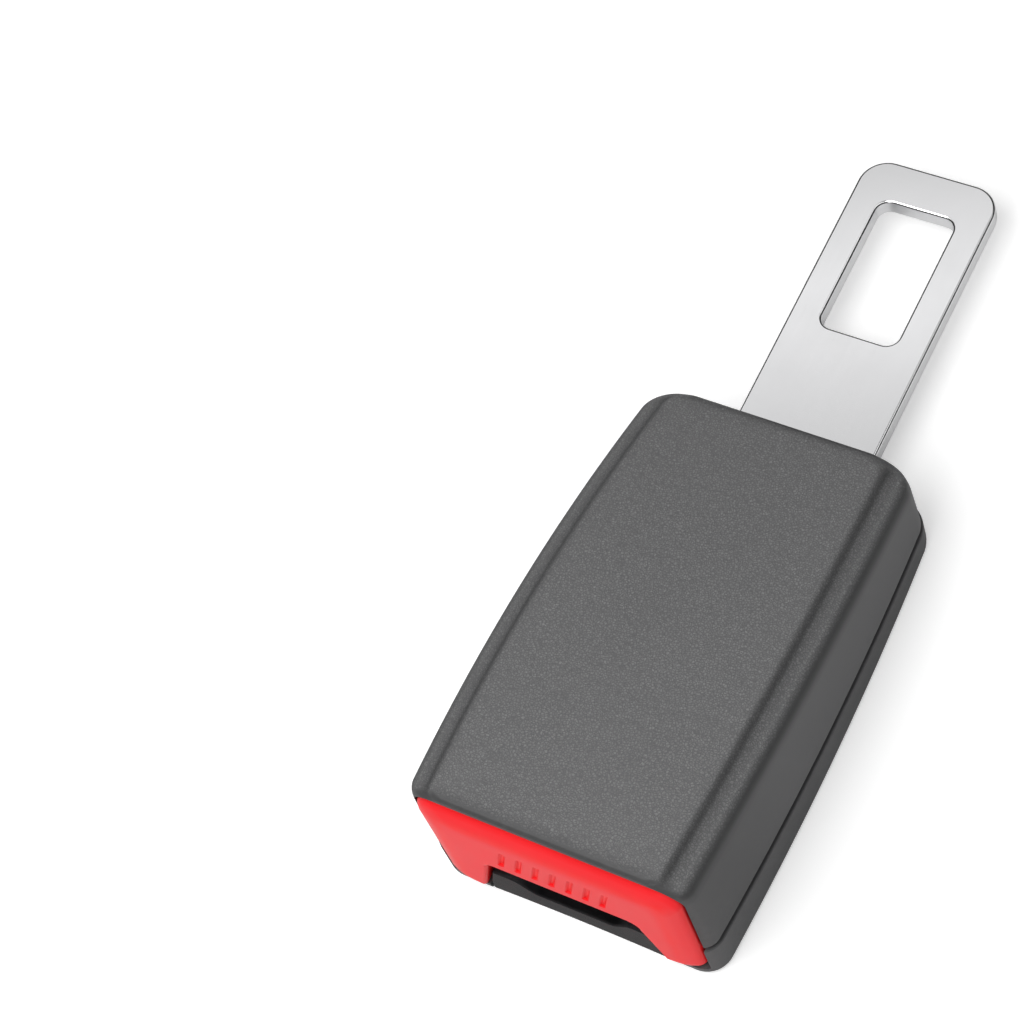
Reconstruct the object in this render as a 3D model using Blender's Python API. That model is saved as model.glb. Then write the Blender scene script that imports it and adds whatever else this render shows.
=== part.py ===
"""Rigid seat belt extender: a short buckle housing with a steel tongue plate in its far end.

Frame: +X across the width, +Y along the length towards the tongue's tip, +Z up.
The origin is under the middle of the overall length, on the plane of the housing's underside.
Lengths are in metres.
"""

import math

import bmesh
import bpy
from mathutils import Matrix, Vector

MM = 0.001

# Clearances, and the small margins that keep joined or cut faces out of one plane
RUNNING_GAP = 0.35 * MM
SEAT_GAP = 0.3 * MM
JOIN_MARGIN = 0.2 * MM
CUT_MARGIN = 1.0 * MM
SMALLEST_CORNER = 0.6 * MM

# Overall size: the housing, and how far the tongue stands out of it
HOUSING_LENGTH = 75.3 * MM
TONGUE_REACH = 51.2 * MM

# Housing plan: bowed sides, narrower at both ends
SIDE_BAY_WIDTH = 5.15 * MM
SIDE_BOW_RADIUS = 568.0 * MM
WIDEST_FROM_FRONT = 33.6 * MM
LOWER_FRONT_SETBACK = 0.6 * MM
UPPER_FRONT_SETBACK = 1.2 * MM
UPPER_REAR_SETBACK = 0.9 * MM
UPPER_SIDE_SETBACK = 0.15 * MM
LOWER_FRONT_CORNER = 3.8 * MM
UPPER_FRONT_CORNER = 2.6 * MM
REAR_CORNER = 5.5 * MM

# Housing profile: the top falls towards the tongue
TOP_FRONT_HEIGHT = 29.2 * MM
TOP_REAR_HEIGHT = 19.0 * MM
TOP_CROWN = 1.9 * MM
PARTING_FRONT_HEIGHT = 8.8 * MM
PARTING_REAR_HEIGHT = 5.6 * MM
GROOVE_HEIGHT = 0.9 * MM
GROOVE_DEPTH = 0.9 * MM
CASING_WALL = 1.8 * MM
FLOOR_THICKNESS = 2.0 * MM
FLOOR_EDGE_RADIUS = 1.2 * MM

# Shoulder of the upper casing, from the flat top panel down to the side wall
PANEL_INSET = 4.8 * MM
STRIP_HIGH_DROP = 0.85 * MM
STRIP_HIGH_INSET = 3.9 * MM
STRIP_LOW_DROP = 1.9 * MM
STRIP_LOW_INSET = 1.7 * MM
ROLL_DROP = 2.65 * MM
ROLL_INSET = 0.93 * MM
SHOULDER_DROP = 4.2 * MM
SHOULDER_DRAFT = 0.45 * MM
FRONT_EDGE_RADIUS = 0.9 * MM
REAR_EDGE_RADIUS = 1.6 * MM

# Tongue plate, also the floor that the belt's own tongue slides on
TONGUE_WIDTH = 22.0 * MM
PLATE_THICKNESS = 3.0 * MM
TIP_CORNER = 4.5 * MM
PLATE_EDGE_RADIUS = 0.45 * MM
SLOT_WIDTH = 12.4 * MM
SLOT_LENGTH = 23.2 * MM
SLOT_FROM_TIP = 6.8 * MM
SLOT_CORNER = 2.0 * MM
TOOTH_HOLE_MARGIN = 1.2 * MM
TOOTH_HOLE_CORNER = 1.0 * MM

# Steel frame folded round the plate
FRAME_WALL = 2.1 * MM
FRAME_SIDE_CLEARANCE = 0.8 * MM
FRAME_REAR_MARGIN = 1.75 * MM
FRAME_TOP_MARGIN = 1.0 * MM
FRAME_HEADROOM = 1.5 * MM
FRAME_FOLD_RADIUS = 1.2 * MM
FRAME_NOSE_LENGTH = 4.0 * MM
RIVET_EDGE_MARGIN = 4.0 * MM
RIVET_SHANK_RADIUS = 2.0 * MM
RIVET_HEAD_RADIUS = 3.1 * MM
RIVET_HEAD_HEIGHT = 1.1 * MM
RIVET_CROWN = 0.7
RIVET_RIM = 0.35

# Latch plate with its tooth, turning on a pin across the frame
PIVOT_FROM_FRONT = 52.2 * MM
PIVOT_HEIGHT = 15.6 * MM
PIN_RADIUS = 1.5 * MM
PIN_HEAD_RADIUS = 2.4 * MM
PIN_HEAD_LENGTH = 0.8 * MM
LATCH_THICKNESS = 2.0 * MM
LATCH_KNUCKLE_WALL = 1.4 * MM
LATCH_LIFT_DEG = 13.5
TOOTH_REAR_REACH = 21.4 * MM
TOOTH_LENGTH = 3.4 * MM
TOOTH_RAMP = 3.0 * MM
TOOTH_HALF_WIDTH = 4.9 * MM
TOOTH_BITE = 1.5 * MM
TOOTH_TOE = 0.4 * MM
EAR_FRONT_REACH = 19.0 * MM
EAR_LENGTH = 3.0 * MM
EAR_NOTCH_MARGIN = 1.6 * MM
LATCH_SPRING_REACH = 11.0 * MM

# Press button
BUTTON_TRAVEL = 5.0 * MM
BUTTON_CHEEK = 1.45 * MM
BUTTON_TOP_LIP = 2.05 * MM
BUTTON_BAND_WIDTH = 3.9 * MM
BUTTON_BAND_HEIGHT = 4.4 * MM
BUTTON_BAND_SETBACK = 1.1 * MM
BUTTON_CREASE_INSET = 0.5
BUTTON_CREASE_FALL = 0.17
BUTTON_BROW_FALL = 0.75
BUTTON_CORNER = 3.2 * MM
BUTTON_EDGE_RADIUS = 0.5 * MM
BUTTON_SKIRT_DEPTH = 4.8 * MM
BUTTON_WALL = 2.2 * MM
MOUTH_HEIGHT = 4.9 * MM
MOUTH_SIDE_CLEARANCE = 0.7 * MM
MOUTH_FLARE = 2.4 * MM
MOUTH_CORNER = 1.6 * MM
GRIP_BAR_COUNT = 7
GRIP_BAR_PITCH = 2.6 * MM
GRIP_BAR_WIDTH = 0.9 * MM
GRIP_BAR_HEIGHT = 5.4 * MM
GRIP_BAR_SLANT = 1.5 * MM
GRIP_BAR_DEPTH = 0.35 * MM
GRIP_BAR_ABOVE_MOUTH = 2.3 * MM

# Button arms, with the ramps that lift the latch and the feet that press the springs
ARM_THICKNESS = 1.7 * MM
ARM_BOTTOM_CLEARANCE = 1.3 * MM
ARM_NECK_HEIGHT = 6.5 * MM
ARM_TAIL = 3.8 * MM
ARM_TOE = 0.6 * MM
ARM_FOOT_THICKNESS = 2.0 * MM
ARM_ROOT_WIDTH = 3.0 * MM
RAMP_GAP = 0.45 * MM
RAMP_OVERRUN = 0.3 * MM
RAMP_CREST = 2.0 * MM

# Mouth guide
GUIDE_GAP = 0.4 * MM
LIP_SETBACK = 0.8 * MM
LIP_THICKNESS = 1.0 * MM
LIP_BOTTOM = 0.25 * MM
LIP_DROP = 2.3 * MM
LIP_LAP = 1.0 * MM
LIP_CORNER = 0.6 * MM
GUIDE_RAMP_DEPTH = 3.0 * MM

# Ejector and the fixed block behind its spring
EJECTOR_TOOTH_CLEARANCE = 4.4 * MM
EJECTOR_PRONG_LENGTH = 9.0 * MM
EJECTOR_BLOCK_LENGTH = 6.0 * MM
EJECTOR_PRONG_HEIGHT = 3.2 * MM
EJECTOR_SLOT_MARGIN = 0.7 * MM
EJECTOR_TRAVEL = 12.3 * MM
EJECTOR_STOP_GAP = 1.6 * MM
SEAT_BLOCK_GAP = 2.1 * MM
SEAT_BLOCK_LENGTH = 4.0 * MM

# Springs
SPRING_WIRE_RADIUS = 0.3 * MM
EJECTOR_SPRING_RADIUS = 2.0 * MM
EJECTOR_SPRING_TURNS = 9
BUTTON_SPRING_RADIUS = 2.2 * MM
BUTTON_SPRING_TURNS = 7
BUTTON_SPRING_LENGTH = 14.4 * MM
LATCH_SPRING_RADIUS = 2.5 * MM
LATCH_SPRING_TURNS = 4
SPRING_PEG_LENGTH = 2.5 * MM
SPRING_RIB_THICKNESS = 2.0 * MM
SPRING_RIB_RISE = 2.6 * MM

# Casing screws and the bosses they join
SCREW_HEAD_RADIUS = 1.9 * MM
SCREW_HEAD_HEIGHT = 1.1 * MM
SCREW_HEAD_RECESS = 0.5 * MM
SCREW_SHANK_RADIUS = 0.9 * MM
SCREW_LENGTH = 13.0 * MM
SCREW_HEAD_RIM = 0.4
SCREW_HEAD_CROWN = 0.75
SCREW_TIP = 0.3
CROSS_REACH = 0.55
CROSS_HALF_WIDTH = 0.16
CROSS_DEPTH = 0.6
BOSS_WALL = 0.9 * MM
FRONT_SCREW_FROM_FRONT = 15.2 * MM
REAR_SCREW_FROM_REAR = 7.1 * MM

ARC_STEPS = 5
SMALL_ARC_STEPS = 4
TIP_STEPS = 8
SIDE_STEPS = 14
FLOOR_EDGE_STEPS = 3
ROUND_STEPS = 24
SCREW_STEPS = 16
COIL_STEPS = 10
WIRE_SIDES = 6
ACROSS = 0.2
SIDES = (("left", -1), ("right", 1))

# Places along the length
OVERALL_LENGTH = HOUSING_LENGTH + TONGUE_REACH
FRONT_Y = -OVERALL_LENGTH / 2
TIP_Y = OVERALL_LENGTH / 2
REAR_Y = FRONT_Y + HOUSING_LENGTH
BUTTON_ROOM_END = FRONT_Y + BUTTON_SKIRT_DEPTH + BUTTON_TRAVEL + RUNNING_GAP
BUTTON_FACE_BACK = FRONT_Y + BUTTON_BAND_SETBACK + BUTTON_WALL
PIVOT_Y = FRONT_Y + PIVOT_FROM_FRONT
TOOTH_REAR = PIVOT_Y - TOOTH_REAR_REACH
LATCH_NOSE = TOOTH_REAR - TOOTH_LENGTH - TOOTH_RAMP - JOIN_MARGIN
EAR_FRONT = PIVOT_Y - EAR_FRONT_REACH
ARM_END = EAR_FRONT + EAR_LENGTH + ARM_TAIL
BUTTON_SPRING_START = ARM_END + SEAT_GAP
BUTTON_SPRING_END = BUTTON_SPRING_START + BUTTON_SPRING_LENGTH
LATCH_SPRING_Y = PIVOT_Y - LATCH_SPRING_REACH
EJECTOR_BLOCK_FRONT = TOOTH_REAR + EJECTOR_TOOTH_CLEARANCE
EJECTOR_FRONT = EJECTOR_BLOCK_FRONT - EJECTOR_PRONG_LENGTH
EJECTOR_BACK = EJECTOR_BLOCK_FRONT + EJECTOR_BLOCK_LENGTH
RIVET_Y = EJECTOR_BACK + EJECTOR_TRAVEL + EJECTOR_STOP_GAP + RIVET_HEAD_RADIUS
SEAT_FRONT = RIVET_Y + RIVET_HEAD_RADIUS + SEAT_BLOCK_GAP
SEAT_BACK = SEAT_FRONT + SEAT_BLOCK_LENGTH
FRAME_REAR = SEAT_BACK + FRAME_REAR_MARGIN

# Places across the width
FRAME_INNER = TONGUE_WIDTH / 2 + FRAME_SIDE_CLEARANCE
FRAME_OUTER = FRAME_INNER + FRAME_WALL
INNER_PIECE_HALF = FRAME_INNER - RUNNING_GAP
RIVET_X = TONGUE_WIDTH / 2 - RIVET_EDGE_MARGIN
PIN_REACH = FRAME_OUTER + SEAT_GAP
ARM_INNER = FRAME_OUTER + RUNNING_GAP
ARM_OUTER = ARM_INNER + ARM_THICKNESS
BUTTON_SPRING_X = PIN_REACH + PIN_HEAD_LENGTH + RUNNING_GAP + BUTTON_SPRING_RADIUS
HOUSING_HALF_WIDTH = ARM_OUTER + SIDE_BAY_WIDTH + CASING_WALL
PILOT_RADIUS = SCREW_SHANK_RADIUS + SEAT_GAP
BOSS_RADIUS = PILOT_RADIUS + BOSS_WALL
FRONT_SCREW_X = ARM_OUTER + RUNNING_GAP + BOSS_RADIUS
REAR_SCREW_X = FRAME_OUTER + RUNNING_GAP + BOSS_RADIUS
MOUTH_TOP_HALF_WIDTH = TONGUE_WIDTH / 2 + MOUTH_SIDE_CLEARANCE
MOUTH_BOTTOM_HALF_WIDTH = MOUTH_TOP_HALF_WIDTH + MOUTH_FLARE
EJECTOR_SLOT_HALF = TOOTH_HALF_WIDTH + EJECTOR_SLOT_MARGIN

# Heights
BASE_BOTTOM = FLOOR_THICKNESS + SEAT_GAP
BASE_TOP = BASE_BOTTOM + FRAME_WALL
PLATE_BOTTOM = BASE_TOP + SEAT_GAP
PLATE_TOP = PLATE_BOTTOM + PLATE_THICKNESS
SLIDE_BOTTOM = PLATE_TOP + SEAT_GAP
MOUTH_TOP = PLATE_TOP + MOUTH_HEIGHT
LATCH_BOTTOM = PIVOT_HEIGHT - LATCH_THICKNESS / 2
LATCH_TOP = PIVOT_HEIGHT + LATCH_THICKNESS / 2
KNUCKLE_RADIUS = PIN_RADIUS + SEAT_GAP + LATCH_KNUCKLE_WALL
EJECTOR_TOP = PIVOT_HEIGHT - KNUCKLE_RADIUS - SEAT_GAP
EJECTOR_SPRING_Z = SLIDE_BOTTOM + EJECTOR_SPRING_RADIUS
FRAME_TOP = PIVOT_HEIGHT + PIN_HEAD_RADIUS + FRAME_TOP_MARGIN
BUTTON_TOP = TOP_FRONT_HEIGHT - BUTTON_TOP_LIP - RUNNING_GAP
BUTTON_BOTTOM = FLOOR_THICKNESS + SEAT_GAP
ARM_BOTTOM = PLATE_TOP + ARM_BOTTOM_CLEARANCE
ARM_NECK_TOP = ARM_BOTTOM + ARM_NECK_HEIGHT
BUTTON_SPRING_Z = ARM_BOTTOM + 2 * JOIN_MARGIN + BUTTON_SPRING_RADIUS
LIP_TOP = PLATE_TOP - LIP_DROP


def clear_scene():
    """Remove every object of the open file."""
    for existing in list(bpy.data.objects):
        bpy.data.objects.remove(existing, do_unlink=True)


def make_material(name, colour, roughness, metallic):
    """Return a Principled BSDF material."""
    material = bpy.data.materials.new(name)
    material.use_nodes = True
    shader = material.node_tree.nodes["Principled BSDF"]
    shader.inputs["Base Color"].default_value = (*colour, 1.0)
    shader.inputs["Roughness"].default_value = roughness
    shader.inputs["Metallic"].default_value = metallic
    return material


def finish_mesh(name, bm, material=None):
    """Turn a bmesh into a linked object with outward faces."""
    bmesh.ops.remove_doubles(bm, verts=bm.verts, dist=1e-7)
    bmesh.ops.recalc_face_normals(bm, faces=bm.faces)
    mesh = bpy.data.meshes.new(name)
    bm.to_mesh(mesh)
    bm.free()
    obj = bpy.data.objects.new(name, mesh)
    bpy.context.scene.collection.objects.link(obj)
    if material is not None:
        mesh.materials.append(material)
    return obj


def place_origin(obj, point):
    """Move a piece's origin to a point on its joint's axis and leave its shape where it is."""
    obj.data.transform(Matrix.Translation(-Vector(point)))
    obj.location = point


def flat_cap(bm, loop):
    """Close a ring with one face."""
    bm.faces.new(loop)


def ladder_cap(bm, loop):
    """Close a ring whose second half mirrors its first with strips straight across."""
    last = len(loop) - 1
    for i in range(len(loop) // 2 - 1):
        bm.faces.new((loop[i], loop[i + 1], loop[last - i - 1], loop[last - i]))


def skin(name, rings, material=None, cap=flat_cap):
    """Join rings of equally many points into one closed body."""
    bm = bmesh.new()
    loops = [[bm.verts.new(point) for point in ring] for ring in rings]
    for low, high in zip(loops, loops[1:]):
        for i in range(len(low)):
            j = (i + 1) % len(low)
            bm.faces.new((low[i], low[j], high[j], high[i]))
    cap(bm, loops[0])
    cap(bm, loops[-1])
    return finish_mesh(name, bm, material)


def prism(name, outline, low, high, axis, material=None):
    """Extrude a closed outline along an axis: X takes (y, z), Y takes (x, z), Z takes (x, y)."""
    place = {
        "X": lambda u, v, w: (w, u, v),
        "Y": lambda u, v, w: (u, w, v),
        "Z": lambda u, v, w: (u, v, w),
    }[axis]
    rings = [[place(u, v, w) for u, v in outline] for w in (low, high)]
    return skin(name, rings, material)


def box(name, low, high, material=None):
    """Return an axis-aligned box between two corners."""
    outline = [(low[0], low[1]), (high[0], low[1]), (high[0], high[1]), (low[0], high[1])]
    return prism(name, outline, low[2], high[2], "Z", material)


def side_box(name, sign, near, far, y_range, z_range):
    """Return a box on one side, between two distances from the middle plane."""
    left, right = sorted((sign * near, sign * far))
    return box(name, (left, y_range[0], z_range[0]), (right, y_range[1], z_range[1]))


def turned(name, profile, base, direction, material=None, steps=ROUND_STEPS):
    """Return a turned body: profile is (radius, height) pairs from the bottom to the top."""
    turn = Vector(direction).to_track_quat("Z", "Y").to_matrix()
    rings = []
    for radius, height in profile:
        ring = []
        for i in range(steps):
            angle = 2 * math.pi * i / steps
            point = Vector((radius * math.cos(angle), radius * math.sin(angle), height))
            ring.append(Vector(base) + turn @ point)
        rings.append(ring)
    return skin(name, rings, material)


def cylinder(name, radius, start, end, material=None):
    """Return a cylinder between two points."""
    along = Vector(end) - Vector(start)
    return turned(name, [(radius, 0), (radius, along.length)], start, along, material)


def arc(centre, radius, start_deg, end_deg, steps=ARC_STEPS):
    """Return the points of a round corner, both ends included."""
    points = []
    for i in range(steps + 1):
        angle = math.radians(start_deg + (end_deg - start_deg) * i / steps)
        points.append((centre[0] + radius * math.cos(angle), centre[1] + radius * math.sin(angle)))
    return points


def rounded_rectangle(left, right, low, high, radius):
    """Return a rectangle's outline with round corners."""
    return (
        arc((right - radius, high - radius), radius, 0, 90)
        + arc((left + radius, high - radius), radius, 90, 180)
        + arc((left + radius, low + radius), radius, 180, 270)
        + arc((right - radius, low + radius), radius, 270, 360)
    )


def boolean(target, tool, operation):
    """Combine a tool body into the target and keep the tool as a hidden guide."""
    tool.hide_render = True
    tool.display_type = "WIRE"
    modifier = target.modifiers.new(operation.lower(), "BOOLEAN")
    modifier.operation = operation
    modifier.solver = "EXACT"
    modifier.object = tool


def cut(target, *tools):
    """Subtract each tool from the target."""
    for tool in tools:
        boolean(target, tool, "DIFFERENCE")


def add(target, *tools):
    """Unite each tool with the target."""
    for tool in tools:
        boolean(target, tool, "UNION")


def round_edges(target, width, segments=2, angle_deg=50.0):
    """Round the sharp edges of a body."""
    modifier = target.modifiers.new("edges", "BEVEL")
    modifier.width = width
    modifier.segments = segments
    modifier.limit_method = "ANGLE"
    modifier.angle_limit = math.radians(angle_deg)
    modifier.use_clamp_overlap = True


def half_width(y):
    """Half the housing's width at its underside, from the bowed side."""
    offset = y - (FRONT_Y + WIDEST_FROM_FRONT)
    return HOUSING_HALF_WIDTH - offset * offset / (2 * SIDE_BOW_RADIUS)


def length_share(y):
    """How far along the housing a place lies, from 0 at the front to 1 at the rear."""
    return (y - FRONT_Y) / HOUSING_LENGTH


def top_height(y):
    """Height of the top surface: a straight fall with a crown."""
    share = length_share(y)
    straight = TOP_FRONT_HEIGHT + (TOP_REAR_HEIGHT - TOP_FRONT_HEIGHT) * share
    return straight + TOP_CROWN * 4 * share * (1 - share)


def parting_height(y):
    """Height of the parting line between the casings."""
    return PARTING_FRONT_HEIGHT + (PARTING_REAR_HEIGHT - PARTING_FRONT_HEIGHT) * length_share(y)


def shoulder_drop(inset):
    """How far the outer skin lies below the top panel, at a distance in from the side."""
    profile = (
        (SHOULDER_DRAFT, SHOULDER_DROP),
        (ROLL_INSET, ROLL_DROP),
        (STRIP_LOW_INSET, STRIP_LOW_DROP),
        (STRIP_HIGH_INSET, STRIP_HIGH_DROP),
        (PANEL_INSET, 0.0),
    )
    for (inset_a, drop_a), (inset_b, drop_b) in zip(profile, profile[1:]):
        if inset <= inset_b:
            return drop_a + (drop_b - drop_a) * (inset - inset_a) / (inset_b - inset_a)
    return 0.0


def edge_inset(drop, radius):
    """How far a rounded end edge stands back at a drop below the top."""
    if drop >= radius:
        return 0.0
    return radius - math.sqrt(radius * radius - (radius - drop) ** 2)


def plan_ring(side, front, rear, front_corner, rear_corner, height):
    """Return one ring of the housing: its right half from front to rear, then the left half back.

    side, front and rear are distances inside the widest plan; height is a function of y.
    """
    y0 = FRONT_Y + front
    y1 = REAR_Y - rear
    front_x = half_width(y0 + front_corner) - side
    rear_x = half_width(y1 - rear_corner) - side
    half = arc((front_x - front_corner, y0 + front_corner), front_corner, -90, 0)
    for i in range(1, SIDE_STEPS):
        y = y0 + front_corner + (y1 - rear_corner - y0 - front_corner) * i / SIDE_STEPS
        half.append((half_width(y) - side, y))
    half += arc((rear_x - rear_corner, y1 - rear_corner), rear_corner, 0, 90)
    mirrored = [(-x, y) for x, y in reversed(half)]
    return [(x, y, height(y)) for x, y in half + mirrored]


def lower_ring(inset, height):
    """Return a ring of the lower casing's plan, moved inwards by inset."""
    return plan_ring(
        inset,
        LOWER_FRONT_SETBACK + inset,
        inset,
        max(LOWER_FRONT_CORNER - inset, SMALLEST_CORNER),
        max(REAR_CORNER - inset, SMALLEST_CORNER),
        height,
    )


def upper_ring(inset, front_inset, rear_inset, height):
    """Return a ring of the upper casing's plan with its own inset at each end."""
    return plan_ring(
        UPPER_SIDE_SETBACK + inset,
        UPPER_FRONT_SETBACK + front_inset,
        UPPER_REAR_SETBACK + rear_inset,
        max(UPPER_FRONT_CORNER - front_inset, SMALLEST_CORNER),
        max(REAR_CORNER - rear_inset, SMALLEST_CORNER),
        height,
    )


def below_top(drop):
    """Return a height function that follows the top surface at a distance."""
    return lambda y: top_height(y) - drop


def level(height):
    """Return a constant height function."""
    return lambda y: height


def off_parting(offset):
    """Return a height function that follows the parting line."""
    return lambda y: parting_height(y) + offset


def screw_places():
    """Return the name and plan position of each casing screw."""
    places = []
    for end, x, y in (
        ("front", FRONT_SCREW_X, FRONT_Y + FRONT_SCREW_FROM_FRONT),
        ("rear", REAR_SCREW_X, REAR_Y - REAR_SCREW_FROM_REAR),
    ):
        for side, sign in SIDES:
            places.append((f"{end}_{side}", sign * x, y))
    return places


def boss_top(x, y):
    """Height at which a boss ends inside the wall of the sloping shoulder above it."""
    back = y + BOSS_RADIUS
    inset = half_width(back) - UPPER_SIDE_SETBACK - abs(x) - BOSS_RADIUS
    return top_height(back) - shoulder_drop(inset) - CASING_WALL / 2


def spring_peg_radius(spring_radius):
    """Radius of the peg that a spring's end turn sits round."""
    return spring_radius - 2 * SPRING_WIRE_RADIUS - SEAT_GAP


def outer_shell_rings():
    """Rings of the upper casing's outside, from the top panel down into the groove."""
    rings = []
    for inset, drop in (
        (PANEL_INSET, 0.0),
        (STRIP_HIGH_INSET, STRIP_HIGH_DROP),
        (STRIP_LOW_INSET, STRIP_LOW_DROP),
        (ROLL_INSET, ROLL_DROP),
        (SHOULDER_DRAFT, SHOULDER_DROP),
    ):
        front = edge_inset(drop, FRONT_EDGE_RADIUS)
        rear = edge_inset(drop, REAR_EDGE_RADIUS)
        rings.append(upper_ring(inset, front, rear, below_top(drop)))
    groove = off_parting(GROOVE_HEIGHT / 2)
    rings.append(upper_ring(0, 0, 0, groove))
    rings.append(upper_ring(GROOVE_DEPTH, GROOVE_DEPTH, GROOVE_DEPTH, groove))
    return rings


def inner_shell_rings():
    """Rings of the upper casing's inside, from the parting face up to the ceiling."""
    wall = CASING_WALL
    foot = off_parting(SEAT_GAP / 2)
    return [
        upper_ring(GROOVE_DEPTH, GROOVE_DEPTH, GROOVE_DEPTH, foot),
        upper_ring(wall, wall, wall, foot),
        upper_ring(wall + SHOULDER_DRAFT, wall, wall, below_top(SHOULDER_DROP + wall)),
        upper_ring(wall + STRIP_LOW_INSET, wall, wall, below_top(STRIP_LOW_DROP + wall)),
        upper_ring(wall + PANEL_INSET, 2 * wall, 2 * wall, below_top(wall)),
    ]


def build_upper_casing(material):
    """The grained shell: outer skin, inner skin, bosses, and the openings for button and plate."""
    casing = skin("upper_casing", outer_shell_rings() + inner_shell_rings(), material, ladder_cap)
    for place, x, y in screw_places():
        bottom = parting_height(y) + SEAT_GAP
        add(casing, cylinder(f"upper_boss_{place}", BOSS_RADIUS, (x, y, bottom), (x, y, boss_top(x, y))))
    ceiling = top_height(LATCH_SPRING_Y) - CASING_WALL
    peg_low = (0, LATCH_SPRING_Y, ceiling - SPRING_PEG_LENGTH)
    peg_high = (0, LATCH_SPRING_Y, ceiling + CASING_WALL / 2)
    add(casing, cylinder("latch_spring_peg", spring_peg_radius(LATCH_SPRING_RADIUS), peg_low, peg_high))
    half = button_half_width() + RUNNING_GAP
    top = BUTTON_TOP + RUNNING_GAP
    outline = rounded_rectangle(-half, half, -top, top, BUTTON_CORNER + RUNNING_GAP)
    cut(casing, prism("button_opening", outline, FRONT_Y - CUT_MARGIN, BUTTON_ROOM_END, "Y"))
    for place, x, y in screw_places():
        cut(casing, cylinder(f"pilot_{place}", PILOT_RADIUS, (x, y, 0), (x, y, screw_tip() + RUNNING_GAP)))
    cut(casing, plate_opening("upper_plate_opening"))
    return casing


def plate_opening(name):
    """Return the cutter for the hole that the tongue plate leaves through."""
    half = TONGUE_WIDTH / 2 + SEAT_GAP
    inside = REAR_Y - UPPER_REAR_SETBACK - CASING_WALL - CUT_MARGIN
    return box(
        name,
        (-half, inside, PLATE_BOTTOM - SEAT_GAP),
        (half, REAR_Y + CUT_MARGIN, PLATE_TOP + SEAT_GAP),
    )


def build_lower_casing(material):
    """The tray: rounded underside, rim with its groove, screw posts and spring ribs."""
    edge = FLOOR_EDGE_RADIUS
    rings = []
    for i in range(FLOOR_EDGE_STEPS + 1):
        angle = math.pi / 2 * i / FLOOR_EDGE_STEPS
        rings.append(lower_ring(edge * (1 - math.sin(angle)), level(edge * (1 - math.cos(angle)))))
    rings += [
        lower_ring(0, off_parting(-GROOVE_HEIGHT / 2)),
        lower_ring(GROOVE_DEPTH, off_parting(-GROOVE_HEIGHT / 2)),
        lower_ring(GROOVE_DEPTH, off_parting(-SEAT_GAP / 2)),
        lower_ring(CASING_WALL, off_parting(-SEAT_GAP / 2)),
        lower_ring(CASING_WALL, level(FLOOR_THICKNESS)),
    ]
    casing = skin("lower_casing", rings, material)
    sink = FLOOR_THICKNESS / 2
    for place, x, y in screw_places():
        top = parting_height(y + BOSS_RADIUS) - SEAT_GAP
        add(casing, cylinder(f"lower_post_{place}", BOSS_RADIUS, (x, y, sink), (x, y, top)))
    for side, sign in SIDES:
        rib_y = BUTTON_SPRING_END + SEAT_GAP
        rib_far = half_width(rib_y) - UPPER_SIDE_SETBACK - SHOULDER_DRAFT - CASING_WALL - RUNNING_GAP
        y_range = (rib_y, rib_y + SPRING_RIB_THICKNESS)
        z_range = (sink, BUTTON_SPRING_Z + SPRING_RIB_RISE)
        rib_near = FRAME_OUTER + RUNNING_GAP
        add(casing, side_box(f"spring_rib_{side}", sign, rib_near, rib_far, y_range, z_range))
    half = button_half_width() + RUNNING_GAP
    room_low = (-half, FRONT_Y - CUT_MARGIN, FLOOR_THICKNESS)
    cut(casing, box("leg_room", room_low, (half, BUTTON_ROOM_END, BUTTON_TOP)))
    notch_half = mouth_half_width(BASE_BOTTOM) - GUIDE_GAP + SEAT_GAP
    notch_back = FRONT_Y + LIP_SETBACK + LIP_THICKNESS + SEAT_GAP
    notch_low = (-notch_half, FRONT_Y - CUT_MARGIN, -CUT_MARGIN)
    cut(casing, box("lip_notch", notch_low, (notch_half, notch_back, BUTTON_TOP)))
    for place, x, y in screw_places():
        head = SCREW_HEAD_RADIUS + SEAT_GAP
        seat = SCREW_HEAD_RECESS + SCREW_HEAD_HEIGHT
        top = parting_height(y) + CUT_MARGIN
        cut(casing, cylinder(f"counterbore_{place}", head, (x, y, -CUT_MARGIN), (x, y, seat)))
        cut(casing, cylinder(f"clearance_{place}", PILOT_RADIUS, (x, y, 0), (x, y, top)))
    for side, sign in SIDES:
        x = sign * RIVET_X
        low = BASE_BOTTOM - RIVET_HEAD_HEIGHT - 2 * SEAT_GAP
        radius = RIVET_HEAD_RADIUS + SEAT_GAP
        cut(casing, cylinder(f"rivet_pocket_{side}", radius, (x, RIVET_Y, low), (x, RIVET_Y, PLATE_BOTTOM)))
    cut(casing, plate_opening("lower_plate_opening"))
    return casing


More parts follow.
